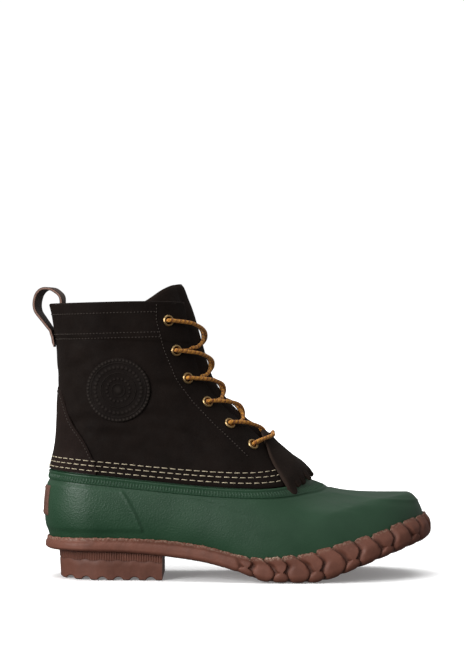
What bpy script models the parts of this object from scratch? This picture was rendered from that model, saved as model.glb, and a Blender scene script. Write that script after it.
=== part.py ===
"""A right-foot duck boot: a green rubber shell on a gum outsole, with a laced leather shaft.

Metres, +Z up, +X towards the toe, +Y towards the inner side of the foot. Inside the
functions x is counted from the back of the heel; the root empty moves the whole boot
so that its origin lies on the floor under the middle of the heel.
"""

import math

import bmesh
import bpy
import numpy as np
from mathutils import Matrix, Vector

# Sole
LENGTH = 0.303
BALL_WIDTH = 0.108
HEEL_HEIGHT = 0.022
TOE_SPRING = 0.031
TOE_SWING = 0.006
PLATE = 0.006
FOXING = 0.005
FOXING_HEIGHT = 0.019
FOXING_LIP = 0.0018
TRAY_CLEARANCE = 0.0006
HEEL_ROUND = 0.13
TOE_ROUND = 0.20
HEEL_BACK = 0.0105
HEEL_BREAST = 0.0925
HEEL_INSET = 0.005
HEEL_TAPER = 0.0015
SCALLOP_PITCH = 0.0128
SCALLOP_COUNT = 6
SCALLOP_RADIUS = 0.0042
SCALLOP_DEPTH = 0.0024
LOBE_START = 0.54
LOBE_COUNT = 12
LOBE_DEPTH = 0.0022
LUG_DEPTH = 0.0022
LOBE_RISE = 0.0015
CORE_INSET = 0.026
LUG_INSET = 0.012
EDGE_INSET = 0.006
EDGE_BEVEL = 0.0012

# Rubber shell
SHELL_WALL = 0.0024
SHELL_BULGE = 0.0045
TOE_DEPTH = 0.158
TOE_BOX = 0.675
VAMP_POWER = 4.0
RIM_HEIGHT = 0.0070
RIM_STEP = 0.0010
FLANGE_WALL = 0.0014
FLANGE_LEVEL = 0.105
SEAM_LEVEL = 0.005
RIM_GROOVE = 0.0006
FLOOR_FILLET = 0.002

# Leather shaft
COLLAR_HEIGHT = 0.214
COLLAR_WIDTH = 0.083
UPPER_WALL = 0.0022
COLLAR_BAND = 0.026
COLLAR_STEP = 0.0008
THROAT_LEVEL = 0.145
THROAT_GAP = 0.019
RING_WARP = 0.10

# Fitted pieces
GAP = 0.00035
INSOLE_THICKNESS = 0.004
INSOLE_CLEARANCE = 0.0008
TONGUE_THICKNESS = 0.0018
TONGUE_WRAP = 0.033
TONGUE_RISE = 0.0135
TONGUE_START = 0.13
TONGUE_BULGE = 0.0015
TONGUE_LEAN = 0.0045
TONGUE_MARGIN = 0.004
COUNTER_REACH = 0.038
COUNTER_LEVEL = 0.50
COUNTER_THICKNESS = 0.0012
KILTIE_WIDTH = 0.076
KILTIE_THICKNESS = 0.0018
KILTIE_FRINGE = 0.26
KILTIE_STRIPS = 8
LOOP_WIDTH = 0.018
LOOP_THICKNESS = 0.0022
LOOP_REACH = 0.0108
LOOP_RISE = 0.0125
LOOP_TWIST = 0.12
LOOP_CLEARANCE = 0.0012
PATCH_RADIUS = 0.0245
PATCH_THICKNESS = 0.0008
PATCH_X = 0.0590
PATCH_Z = 0.1465
LABEL_WIDTH = 0.030
LABEL_HEIGHT = 0.023
LABEL_MIDDLE = 0.060
LABEL_THICKNESS = 0.0014
EYELET_RADIUS = 0.0046
EYELET_BORE = 0.0026
EYELET_WALL = 0.0005
EYELET_FLANGE = 0.0009
EYELET_SIDES = 8
EYELET_SEAT = 0.0006
LACE_RADIUS = 0.0015
LACE_HUMP = 0.0022
LACE_MARGIN = 0.0012
LACE_TUCK = 0.0006

HEEL_CENTRE = (HEEL_BACK + HEEL_BREAST) / 2
LATERAL, MEDIAL = -1, 1


def table(names, *rows):
    """A short table as one array for each named column."""
    return dict(zip(names.split(), np.array(rows, float).T))


# Widths are shares of BALL_WIDTH, the rises shares of HEEL_HEIGHT and TOE_SPRING,
# and the foxing is a share of FOXING_HEIGHT, each at a share of LENGTH.
SOLE = table(
    "along lateral medial heel_rise toe_rise foxing",
    (0.00, 0.340, 0.340, 1.00, 0.00, 0.50),
    (0.10, 0.345, 0.345, 1.00, 0.00, 0.56),
    (0.22, 0.352, 0.340, 0.96, 0.00, 0.60),
    (0.33, 0.370, 0.325, 0.82, 0.00, 0.67),
    (0.43, 0.410, 0.315, 0.61, 0.00, 0.70),
    (0.50, 0.445, 0.340, 0.34, 0.00, 0.75),
    (0.56, 0.472, 0.390, 0.05, 0.00, 0.95),
    (0.60, 0.487, 0.430, 0.00, 0.00, 1.02),
    (0.69, 0.500, 0.490, 0.00, 0.00, 1.14),
    (0.73, 0.498, 0.502, 0.00, 0.09, 1.18),
    (0.81, 0.480, 0.500, 0.00, 0.385, 1.07),
    (0.87, 0.465, 0.490, 0.00, 0.60, 0.98),
    (0.93, 0.455, 0.480, 0.00, 0.80, 1.02),
    (1.00, 0.450, 0.475, 0.00, 1.00, 0.94),
)

# Each row is a ring round the leather, from the seam on the rubber up to the collar.
# The x columns are shares of LENGTH, the z columns and the dip of COLLAR_HEIGHT, the
# widths of COLLAR_WIDTH, and the two rounds of the ring's own length.
SHAFT = table(
    "level back_x back_z front_x front_z rear fore heel_round front_round dip",
    (0.00, 0.013, 0.392, 0.668, 0.365, 0.415, 0.488, 0.18, 0.225, 0.040),
    (0.15, 0.027, 0.480, 0.613, 0.442, 0.405, 0.440, 0.21, 0.26, 0.018),
    (0.30, 0.032, 0.570, 0.549, 0.532, 0.415, 0.395, 0.25, 0.31, 0.004),
    (0.45, 0.033, 0.664, 0.479, 0.622, 0.430, 0.385, 0.29, 0.34, 0.000),
    (0.60, 0.031, 0.753, 0.433, 0.712, 0.450, 0.410, 0.33, 0.37, 0.000),
    (0.80, 0.025, 0.874, 0.402, 0.846, 0.475, 0.450, 0.38, 0.40, -0.002),
    (0.93, 0.016, 0.960, 0.381, 0.951, 0.492, 0.470, 0.41, 0.42, -0.005),
    (1.00, 0.010, 0.995, 0.370, 0.998, 0.500, 0.478, 0.42, 0.42, -0.007),
)

# Half the gap between the two edges of the throat, as a share of THROAT_GAP.
THROAT = table(
    "level gap",
    (THROAT_LEVEL, 0.55),
    (0.30, 0.62),
    (0.45, 0.80),
    (0.65, 0.97),
    (0.80, 1.10),
    (1.00, 0.80),
)

# The tongue's wrap round the leg as a share of TONGUE_WRAP, by level.
TONGUE_SIDES = table("level wrap", (0.10, 0.25), (0.20, 0.42), (0.50, 0.70), (1.10, 1.00))
# The tongue's top edge above the collar as a share of TONGUE_RISE, by share of wrap.
TONGUE_TOP = table("behind rise", (0.0, 1.0), (0.25, 0.98), (0.60, 0.66), (1.0, -0.10))
# The counter's upper edge as a share of COUNTER_LEVEL, by share of COUNTER_REACH.
COUNTER_EDGE = table(
    "reach level", (0.0, 1.0), (0.26, 0.92), (0.50, 0.62), (0.76, 0.38), (0.90, 0.2), (1.0, 0.06)
)
# Each row's eyelets from the top down, as shares of LENGTH and of COLLAR_HEIGHT.
EYELETS = (
    (0.320, 0.933),
    (0.341, 0.826),
    (0.370, 0.726),
    (0.420, 0.640),
    (0.477, 0.562),
    (0.536, 0.486),
)
# The kiltie from its root to the tips of its fringe. Ahead is a share of LENGTH, down a
# share of COLLAR_HEIGHT below KILTIE_ROOT, wide a share of half KILTIE_WIDTH. Drop and
# back say how far its edge hangs below and behind its middle, as shares of half the width.
KILTIE = table(
    "along ahead down wide drop back",
    (0.0, 0.5650, 0.0000, 0.34, 0.08, 0.00),
    (0.2, 0.5910, 0.0465, 0.58, 0.22, 0.08),
    (0.45, 0.6280, 0.0892, 0.84, 0.38, 0.36),
    (0.75, 0.6691, 0.1280, 0.96, 0.42, 0.52),
    (1.0, 0.6992, 0.1707, 1.00, 0.35, 0.60),
)
KILTIE_ROOT = 0.5402
BAR_ALONG = 0.15
# The pull loop's middle line, as shares of LOOP_REACH behind the back of the collar
# and of LOOP_RISE above it. Its two ends lie against the leather.
LOOP = table(
    "behind above",
    (-0.60, -1.75),
    (-0.50, -1.15),
    (-0.70, -0.56),
    (-0.93, 0.00),
    (-0.88, 0.48),
    (-0.51, 0.80),
    (-0.14, 0.95),
    (0.36, 0.93),
    (0.74, 0.61),
    (0.95, 0.05),
    (0.93, -0.45),
    (0.70, -0.90),
    (0.30, -1.38),
    (0.00, -1.90),
    (-0.20, -2.40),
    (-0.40, -2.90),
    (-0.45, -3.35),
)


def smooth(rows, at_name, name, at):
    """A table's column between its rows, on a cubic that runs straight past its ends."""
    x, y = rows[at_name], rows[name]
    slope = np.gradient(y, x)
    at = np.asarray(at, float)
    inside = np.clip(at, x[0], x[-1])
    i = np.clip(np.searchsorted(x, inside) - 1, 0, len(x) - 2)
    step = x[i + 1] - x[i]
    u = (inside - x[i]) / step
    value = (
        (1 + 2 * u) * (1 - u) ** 2 * y[i]
        + u * (1 - u) ** 2 * step * slope[i]
        + u * u * (3 - 2 * u) * y[i + 1]
        + u * u * (u - 1) * step * slope[i + 1]
    )
    return value + (at - inside) * np.where(at < inside, slope[0], slope[-1])


def ease(q):
    """Goes from 0 to 1 with no slope at either end."""
    q = np.clip(q, 0, 1)
    return q * q * (3 - 2 * q)


def rounded_end(q):
    """A quarter circle from 0 at q = 0 to 1 at q = 1."""
    q = np.clip(q, 0, 1)
    return np.sqrt(q * (2 - q))


def points(x, y, z):
    return np.stack(np.broadcast_arrays(x, y, z), axis=-1)


def swing(x):
    """How far the foot's middle line bends towards the inner side."""
    return TOE_SWING * ease((x / LENGTH - 0.45) / 0.55)


def sole_plan(t, side, inset=0.0):
    """The sole's outline at t, from 0 at the heel's back to 1 at the toe."""
    u = (1 - np.cos(math.pi * np.asarray(t, float))) / 2
    x = inset + u * (LENGTH - 2 * inset)
    name = np.where(side < 0, smooth(SOLE, "along", "lateral", u), smooth(SOLE, "along", "medial", u))
    y = (name * BALL_WIDTH - inset) * rounded_end(u / HEEL_ROUND) * rounded_end((1 - u) / TOE_ROUND)
    return x, swing(x) + side * y


def sole_bottom(x):
    """Height of the outsole's underside, without its heel block."""
    share = np.clip(x / LENGTH, 0, 1)
    heel = smooth(SOLE, "along", "heel_rise", share) * HEEL_HEIGHT
    toe = smooth(SOLE, "along", "toe_rise", share) * TOE_SPRING
    return np.where(share < 0.60, np.maximum(heel, 0), 0) + np.where(share > 0.69, np.maximum(toe, 0), 0)


def foxing_top(x):
    share = np.clip(x / LENGTH, 0, 1)
    return sole_bottom(x) + smooth(SOLE, "along", "foxing", share) * FOXING_HEIGHT


def ring(t, side, level):
    """A point of the shaft's outer surface: t from the heel's back to the front."""
    def column(name):
        return smooth(SHAFT, "level", name, level)

    t = np.asarray(t, float)
    u = (1 - np.cos(math.pi * (t + RING_WARP * np.sin(math.pi * t)))) / 2
    back, front = column("back_x") * LENGTH, column("front_x") * LENGTH
    x = back + u * (front - back)
    wide = (column("rear") + (column("fore") - column("rear")) * ease(u)) * COLLAR_WIDTH
    y = wide * rounded_end(u / column("heel_round")) * rounded_end((1 - u) / column("front_round"))
    hang = u**1.5 * np.sqrt(np.clip(1 - u, 0, 1)) / 0.325
    height = column("back_z") + (column("front_z") - column("back_z")) * u - column("dip") * hang
    return points(x, swing(x) + side * y, height * COLLAR_HEIGHT)


def meridian(t, s):
    """The shares of the way in and of the way up that the shell has gone at s."""
    toe = ease((np.asarray(t, float) - 0.55) / 0.30)
    half = 0.5
    angle = np.clip(s / half, 0, 1) * math.pi / 2
    ramp = np.clip((s - half) / (1 - half), 0, 1)
    toe_in = TOE_DEPTH * (1 - np.cos(angle)) + (1 - TOE_DEPTH) * ramp
    toe_up = TOE_BOX * np.sin(angle) + (1 - TOE_BOX) * ramp**VAMP_POWER
    return (1 - toe) * s + toe * toe_in, (1 - toe) * s + toe * toe_up, toe


def shell(t, side, s):
    """The rubber shell's outer surface: s from its lower edge, in the sole, to the seam."""
    t, s = np.asarray(t, float), np.asarray(s, float)
    x0, y0 = sole_plan(t, side, FOXING)
    z0 = sole_bottom(x0) + PLATE + GAP
    top = ring(t, side, 0.0)
    way_in, way_up, toe = meridian(t, s)
    step = 1e-4
    x1, y1 = sole_plan(np.clip(t + step, 0, 1), side, FOXING)
    x2, y2 = sole_plan(np.clip(t - step, 0, 1), side, FOXING)
    run = np.hypot(x1 - x2, y1 - y2)
    bulge = SHELL_BULGE * (1 - toe) * np.sin(math.pi * np.clip(s, 0, 1) ** 0.75)
    x = x0 + (top[..., 0] - x0) * way_in - side * (y1 - y2) / run * bulge
    y = y0 + (top[..., 1] - y0) * way_in + side * (x1 - x2) / run * bulge
    return points(x, y, z0 + (top[..., 2] - z0) * way_up)


def raised(surface, t, side, v, rise):
    """A surface's point moved out along its normal by rise."""
    e = 2e-4
    t, v = np.asarray(t, float), np.asarray(v, float)
    along = surface(np.clip(t + e, 0, 1), side, v) - surface(np.clip(t - e, 0, 1), side, v)
    up = surface(t, side, v + e) - surface(t, side, v - e)
    normal = np.cross(along, up) * -np.asarray(side, float)[..., None]
    normal /= np.linalg.norm(normal, axis=-1, keepdims=True)
    return surface(t, side, v) + normal * np.asarray(rise, float)[..., None]


def share_at(value, target):
    """Where, from 0 to 1, a sampled value that only grows or only falls meets a target."""
    steps = np.linspace(0, 1, len(value))
    return float(np.interp(target, value, steps) if value[-1] > value[0] else np.interp(-target, -value, steps))


SAMPLES = np.linspace(0, 1, 801)
STATIONS = 1 - np.linspace(1, 0, 20) ** 1.1


def shell_level(t, side, z):
    """The s at which the shell's meridian at t passes the height z."""
    low, high = np.zeros_like(t), np.ones_like(t)
    for _ in range(30):
        middle = (low + high) / 2
        below = shell(t, side, middle)[..., 2] < z
        low, high = np.where(below, middle, low), np.where(below, high, middle)
    return low


def throat_half_gap(level):
    """Half the gap between the throat's edges: 0 below its foot, which is round."""
    opening = rounded_end((level - THROAT_LEVEL) / 0.07)
    return THROAT_GAP * smooth(THROAT, "level", "gap", max(level, THROAT_LEVEL)) * opening


def throat_edge(level):
    """The t at which a ring reaches the throat's edge."""
    gap = throat_half_gap(level)
    if gap <= 0:
        return 1.0
    front = np.linspace(0.55, 1, 801)
    across = -(ring(front, LATERAL, level)[:, 1] - swing(ring(front, LATERAL, level)[:, 0]))
    return 0.55 + 0.45 * share_at(across, gap)


def t_at_x(level, x):
    """The t at which a ring passes x."""
    return share_at(ring(SAMPLES, LATERAL, level)[:, 0], x)


# Meshes


def material(name, colour, roughness, metallic=0.0):
    made = bpy.data.materials.new(name)
    made.use_nodes = True
    shader = made.node_tree.nodes["Principled BSDF"]
    shader.inputs["Base Color"].default_value = (*colour, 1)
    shader.inputs["Roughness"].default_value = roughness
    shader.inputs["Metallic"].default_value = metallic
    return made


def node(name, vertices, faces, look, root, smooth_angle=35):
    """A named object from points and faces, welded, facing out and under the root."""
    mesh = bpy.data.meshes.new(name)
    mesh.from_pydata([tuple(v) for v in vertices], [], faces)
    work = bmesh.new()
    work.from_mesh(mesh)
    bmesh.ops.remove_doubles(work, verts=work.verts, dist=2e-6)
    bmesh.ops.recalc_face_normals(work, faces=work.faces)
    work.to_mesh(mesh)
    work.free()
    mesh.shade_smooth()
    mesh.set_sharp_from_angle(angle=math.radians(smooth_angle))
    mesh.materials.append(look)
    made = bpy.data.objects.new(name, mesh)
    bpy.context.collection.objects.link(made)
    made.parent = root
    return made


def cutter(name, vertices, faces, root):
    made = node(name, vertices, faces, bpy.data.materials[0], root)
    made.hide_render = True
    made.display_type = "WIRE"
    return made


def boolean(target, other, operation):
    modifier = target.modifiers.new(other.name, "BOOLEAN")
    modifier.operation = operation
    modifier.object = other
    other.hide_render = True
    other.display_type = "WIRE"


def around(surface, stations):
    """A closed ring: out along the lateral side to the toe and back along the medial."""
    return np.concatenate([surface(stations, LATERAL), surface(stations, MEDIAL)[-2:0:-1]])


def stacked_rings(rings):
    """Points and faces of the solid through closed rings, closed straight across at both ends."""
    count = len(rings[0])
    faces = []
    for k in range(len(rings) - 1):
        for i in range(count):
            j = (i + 1) % count
            faces.append((k * count + i, k * count + j, (k + 1) * count + j, (k + 1) * count + i))
    half = count // 2
    for start in (0, (len(rings) - 1) * count):
        for i in range(half):
            a, b = start + i, start + i + 1
            c, d = start + (count - i - 1) % count, start + (count - i) % count
            faces.append(tuple(dict.fromkeys((a, b, c, d))))
    return np.concatenate(rings), faces


def sheet(outer, inner, missing=lambda row, column: False, seamed_rows=0):
    """The solid between two grids of points. Missing cells are left out, and in the
    first seamed rows the sheet's two sides meet, so they get no edge there."""
    rows, columns = outer.shape[:2]
    vertices = np.concatenate([outer.reshape(-1, 3), inner.reshape(-1, 3)])
    lower = rows * columns
    faces = []

    def there(r, c):
        return 0 <= r < rows - 1 and 0 <= c < columns - 1 and not missing(r, c)

    for r in range(rows - 1):
        for c in range(columns - 1):
            if not there(r, c):
                continue
            a, b = r * columns + c, r * columns + c + 1
            d, e = a + columns, b + columns
            faces += [(a, b, e, d), (a + lower, d + lower, e + lower, b + lower)]
            seam = r < seamed_rows
            for edge, near in (((a, b), (r - 1, c)), ((e, d), (r + 1, c))):
                if not there(*near):
                    faces.append((edge[1], edge[0], edge[0] + lower, edge[1] + lower))
            for edge, near in (((d, a), (r, c - 1)), ((b, e), (r, c + 1))):
                if not there(*near) and not seam:
                    faces.append((edge[1], edge[0], edge[0] + lower, edge[1] + lower))
    return vertices, faces


def tube(path, radius, sides=6):
    """Points and faces of a round cord along a path."""
    path = np.asarray(path)
    tangent = np.gradient(path, axis=0)
    tangent /= np.linalg.norm(tangent, axis=1, keepdims=True)
    normal = np.cross(tangent[0], (0.3, 0.2, 1.0))
    vertices, faces = [], []
    for i, point in enumerate(path):
        normal = normal - tangent[i] * np.dot(normal, tangent[i])
        normal /= np.linalg.norm(normal)
        other = np.cross(tangent[i], normal)
        for k in range(sides):
            turn = 2 * math.pi * k / sides
            vertices.append(point + radius * (math.cos(turn) * normal + math.sin(turn) * other))
            if i:
                a, b = (i - 1) * sides + k, (i - 1) * sides + (k + 1) % sides
                faces.append((a, b, b + sides, a + sides))
    last = (len(path) - 1) * sides
    faces.append(tuple(range(sides)))
    faces.append(tuple(last + k for k in reversed(range(sides))))
    return vertices, faces


def turned(profile, sides, centre, axis):
    """Points and faces of a closed profile of (radius, height) turned round an axis."""
    turn_to = Vector((0, 0, 1)).rotation_difference(Vector(axis)).to_matrix()
    vertices, faces = [], []
    count = len(profile)
    for k in range(sides):
        angle = 2 * math.pi * k / sides
        for radius, height in profile:
            local = Vector((radius * math.cos(angle), radius * math.sin(angle), height))
            vertices.append(Vector(centre) + turn_to @ local)
        for i in range(count):
            a, b = k * count + i, k * count + (i + 1) % count
            c, d = (b + count) % (sides * count), (a + count) % (sides * count)
            faces.append((a, b, c, d))
    return vertices, faces


# Outsole


def sole_run():
    """Run along the sole's outline at each sample of t, the mean of both sides."""
    total = np.zeros(len(SAMPLES))
    for side in (LATERAL, MEDIAL):
        x, y = sole_plan(SAMPLES, side)
        total[1:] += np.cumsum(np.hypot(np.diff(x), np.diff(y))) / 2
    return total


def lobe_phase(t):
    """Lobes counted along the edge from where they start, a whole number at each valley."""
    run = sole_run()
    start = np.interp(LOBE_START * LENGTH, sole_plan(SAMPLES, LATERAL)[0], run)
    pitch = (run[-1] - start) / LOBE_COUNT
    return (np.interp(t, SAMPLES, run) - start) / pitch


def outsole_stations():
    """Stations that meet each lobe at its valleys, shoulders and top."""
    phase = lobe_phase(SAMPLES)
    front = np.interp(np.arange(0, 4 * LOBE_COUNT + 1) / 4, phase, SAMPLES)
    rear = np.linspace(0, front[0], 12)[:-1]
    return np.concatenate([rear, front])


def lobe(t, shift):
    """How far the edge draws back from its lobes: 0 on a lobe's top, 1 in a valley."""
    phase = lobe_phase(t)
    return ease(phase * 1.5) * (1 - np.abs(np.sin(math.pi * (phase + shift))))


def outsole_rings(stations):
    def underside(inset, lift):
        def at(t, side):
            drawn = LOBE_DEPTH * lobe(t, 0.5) if inset < FOXING else 0
            x, y = sole_plan(t, side, inset + drawn)
            lug = LUG_DEPTH * np.where(lobe(t, 0.5) > 0.6, 1, 0) * ease(lobe_phase(t))
            return points(x, y, sole_bottom(x) + lug + lift)
        return around(at, stations)

    def wall(inset, share, shift):
        def at(t, side):
            x, y = sole_plan(t, side, inset + LOBE_DEPTH * lobe(t, shift))
            return points(x, y, sole_bottom(x) + share * (foxing_top(x) - sole_bottom(x)))
        return around(at, stations)

    def on_shell(share, rise):
        def at(t, side):
            x, _ = sole_plan(t, side, FOXING)
            top = shell_level(t, side, foxing_top(x) - LOBE_RISE * lobe(t, 0.0))
            return raised(shell, t, side, top * share, rise)
        return around(at, stations)

    def tray(inset):
        def at(t, side):
            x, y = sole_plan(t, side, inset)
            return points(x, y, sole_bottom(x) + PLATE)
        return around(at, stations)

    return [
        underside(CORE_INSET, 0.0),
        underside(LUG_INSET, 0.0),
        underside(EDGE_INSET, 0.0),
        wall(EDGE_BEVEL, 0.16, 0.5),
        wall(0.0, 0.42, 0.25),
        wall(EDGE_BEVEL / 3, 0.68, 0.0),
        on_shell(1.0, FOXING_LIP + GAP),
        on_shell(1.0, GAP + TRAY_CLEARANCE / 3),
        on_shell(0.5, GAP + TRAY_CLEARANCE),
        tray(FOXING - GAP - TRAY_CLEARANCE),
        tray(CORE_INSET),
    ]


def heel_block():
    """The heel's block, narrower than the sole and straight across at its breast."""
    def outline(inset, height):
        rows = []
        for side in (LATERAL, MEDIAL):
            t = np.linspace(0, 1, 400)
            x, y = sole_plan(t, side, inset)
            x = x + HEEL_BACK - HEEL_INSET
            keep = np.linspace(0, share_at(x, HEEL_BREAST), 10)
            line = points(np.interp(keep, t, x), np.interp(keep, t, y), 0)
            line[:, 2] = height if height is not None else sole_bottom(line[:, 0]) + PLATE / 2
            rows.append(line if side == LATERAL else line[:0:-1])
        return np.concatenate(rows)

    low, high = outline(HEEL_INSET + HEEL_TAPER, 0.0), outline(HEEL_INSET, None)
    count = len(low)
    faces = [tuple(range(count)), tuple(count + i for i in reversed(range(count)))]
    faces += [(i, (i + 1) % count, count + (i + 1) % count, count + i) for i in range(count)]
    return np.concatenate([low, high]), faces


def scallops():
    """Round notches across the underside of the heel."""
    vertices, faces = [], []
    sides = 12
    half_width = BALL_WIDTH / 2
    for k in range(SCALLOP_COUNT):
        x = HEEL_CENTRE + (k - (SCALLOP_COUNT - 1) / 2) * SCALLOP_PITCH
        start = len(vertices)
        for y in (-half_width, half_width):
            for i in range(sides):
                turn = 2 * math.pi * i / sides
                height = SCALLOP_DEPTH - SCALLOP_RADIUS + SCALLOP_RADIUS * math.sin(turn)
                vertices.append((x + SCALLOP_RADIUS * math.cos(turn), y, height))
        faces.append(tuple(start + i for i in range(sides)))
        faces.append(tuple(start + sides + i for i in reversed(range(sides))))
        for i in range(sides):
            j = (i + 1) % sides
            faces.append((start + i, start + j, start + sides + j, start + sides + i))
    return vertices, faces


def make_outsole(root, gum):
    outsole = node("outsole", *stacked_rings(outsole_rings(outsole_stations())), gum, root)
    block = cutter("heel_block", *heel_block(), root)
    boolean(outsole, block, "UNION")
    boolean(outsole, cutter("heel_scallops", *scallops(), root), "DIFFERENCE")


# Rubber shell and insole


def make_shell(root, green):
    stations = STATIONS

    def bottom(inset, rise):
        def at(t, side):
            x, y = sole_plan(t, side, inset)
            return points(x, y, sole_bottom(x) + PLATE + GAP + rise)
        return around(at, stations)

    def wall(s, rise):
        return around(lambda t, side: raised(shell, t, side, np.full_like(t, s), np.full_like(t, rise)), stations)

    def rim(height, rise):
        def at(t, side):
            s = shell_level(t, side, ring(t, side, 0.0)[..., 2] - height)
            toe = ease((t - 0.80) / 0.12)
            front = 1 - 1.4 * height / (0.3 * LENGTH)
            s = s * (1 - toe) + front * toe
            return raised(shell, t, side, s, np.full_like(t, rise))
        return around(at, stations)

    def flange(level, rise):
        return around(lambda t, side: raised(ring, t, side, np.full_like(t, level), np.full_like(t, rise)), stations)

    inside = UPPER_WALL + GAP
    rings = [bottom(CORE_INSET, 0), bottom(FOXING + EDGE_INSET, 0)]
    rings += [wall(s, 0) for s in (0.0, 0.10, 0.22, 0.36, 0.50, 0.66, 0.80)]
    rings += [rim(RIM_HEIGHT + RIM_GROOVE, 0), rim(RIM_HEIGHT, RIM_STEP), rim(RIM_GROOVE, RIM_STEP)]
    rings += [flange(0.0, -inside), flange(FLANGE_LEVEL / 2, -inside), flange(FLANGE_LEVEL, -inside)]
    rings += [flange(FLANGE_LEVEL, -inside - FLANGE_WALL), flange(0.0, -inside - FLANGE_WALL)]
    rings += [wall(s, -SHELL_WALL) for s in (0.80, 0.56, 0.30, 0.06)]
    rings += [bottom(FOXING + SHELL_WALL + FLOOR_FILLET, SHELL_WALL), bottom(CORE_INSET, SHELL_WALL)]
    node("rubber_shell", *stacked_rings(rings), green, root)


def make_insole(root, lining):
    stations = STATIONS
    inset = FOXING + SHELL_WALL + INSOLE_CLEARANCE + FLOOR_FILLET
    floor = PLATE + GAP + SHELL_WALL + 3 * GAP

    def level(ring_inset, rise):
        def at(t, side):
            x, y = sole_plan(t, side, ring_inset)
            return points(x, y, sole_bottom(x) + floor + rise)
        return around(at, stations)

    rings = [level(CORE_INSET, 0), level(inset, 0)]
    rings += [level(inset, INSOLE_THICKNESS), level(CORE_INSET, INSOLE_THICKNESS)]
    node("insole", *stacked_rings(rings), lining, root)


# Leather


def band_level():
    """The level of the collar band's lower edge."""
    heights = ring(0.0, LATERAL, SAMPLES)[..., 2]
    return share_at(heights, heights[-1] - COLLAR_BAND)


def leather_rise(level):
    """How far the leather stands proud of the shaft's surface."""
    return COLLAR_STEP if level > band_level() + 0.002 else 0.0


def upper_levels():
    """Levels of the shaft's rings, with one on each side of the collar band's step."""
    foot = [SEAM_LEVEL, FLANGE_LEVEL / 2, FLANGE_LEVEL, THROAT_LEVEL]
    round_foot = [THROAT_LEVEL + 0.07 * q for q in (0.1, 0.45, 1.0)]
    band = band_level()
    return foot + round_foot + list(np.linspace(0.32, band, 5)) + [band + 0.005, (band + 1) / 2 + 0.01, 1.0]


def make_upper(root, leather, holes):
    levels = upper_levels()
    shares = np.concatenate([STATIONS[::-1], STATIONS[1:]])
    sides = np.array([LATERAL] * len(STATIONS) + [MEDIAL] * (len(STATIONS) - 1))

    def grid(rise_at):
        rows = []
        for level in levels:
            t = shares * throat_edge(level)
            rows.append(raised(ring, t, sides, np.full_like(t, level), np.full_like(t, rise_at(level))))
        return np.array(rows)

    outer, inner = grid(leather_rise), grid(lambda level: -UPPER_WALL)
    seamed = sum(1 for level in levels if level <= THROAT_LEVEL) - 1
    for line in (outer, inner):
        line[: seamed + 1, 0] = line[: seamed + 1, -1] = (line[: seamed + 1, 0] + line[: seamed + 1, -1]) / 2
    upper = node("upper", *sheet(outer, inner, seamed_rows=seamed), leather, root)
    boolean(upper, holes, "DIFFERENCE")


def tongue_bulge(t, side, level):
    """How far the tongue stands out between the throat's edges."""
    gap = throat_half_gap(min(level, 1.0)) - TONGUE_MARGIN
    if gap < TONGUE_MARGIN / 2:
        return 0.0
    place = ring(t, side, level)
    return TONGUE_BULGE * max(1 - ((place[1] - swing(place[0])) / gap) ** 2, 0)


def make_tongue(root, leather):
    levels = np.linspace(0, 1, 11)
    across = np.linspace(-1, 1, 13)
    rise_per_level = (ring(1.0, LATERAL, 1.0)[2] - ring(1.0, LATERAL, 0.9)[2]) / 0.1
    outside = -UPPER_WALL - 1.6 * GAP

    def grid(rise):
        made = np.zeros((len(levels), len(across), 3))
        for c, q in enumerate(across):
            top = 1 + float(smooth(TONGUE_TOP, "behind", "rise", abs(q))) * TONGUE_RISE / rise_per_level
            for r, v in enumerate(levels):
                level = TONGUE_START + v * (top - TONGUE_START)
                wrap = float(smooth(TONGUE_SIDES, "level", "wrap", level)) * TONGUE_WRAP
                front = ring(1.0, LATERAL, level)[0]
                t = 1.0 if abs(q) < 1e-6 else t_at_x(level, front - wrap * q * q)
                side = LATERAL if q <= 0 else MEDIAL
                lean = TONGUE_LEAN * float(ease((level - 0.96) / 0.15))
                made[r, c] = raised(ring, t, side, level, rise - lean + tongue_bulge(t, side, level))
        return made

    node("tongue", *sheet(grid(outside), grid(outside - TONGUE_THICKNESS)), leather, root)


def make_counter(root, leather):
    across = np.linspace(-1, 1, 17)
    rows = np.linspace(0, 1, 7)

    def grid(rise):
        made = np.zeros((len(rows), len(across), 3))
        for c, q in enumerate(across):
            top = COUNTER_LEVEL * float(smooth(COUNTER_EDGE, "reach", "level", abs(q)))
            for r, v in enumerate(rows):
                level = SEAM_LEVEL + v * (top - SEAM_LEVEL)
                back = ring(0.0, LATERAL, level)[0]
                t = 0.0 if abs(q) < 1e-6 else t_at_x(level, back + COUNTER_REACH * abs(q) ** 1.6)
                made[r, c] = raised(ring, t, LATERAL if q <= 0 else MEDIAL, level, rise)
        return made

    node("heel_counter", *sheet(grid(GAP + COUNTER_THICKNESS), grid(GAP)), leather, root)


def kiltie_point(p, q, rise):
    """A point of the kiltie: p from its root to its tips, q from -1 to 1 across."""
    def column(name):
        return smooth(KILTIE, "along", name, p)

    half = KILTIE_WIDTH / 2
    x = column("ahead") * LENGTH - column("back") * half * q * q
    z = (KILTIE_ROOT - column("down")) * COLLAR_HEIGHT - column("drop") * half * np.abs(q) ** 2.2
    y = swing(x) + column("wide") * half * q
    return points(x + 0.74 * rise, y, z + 0.67 * rise)


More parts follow.
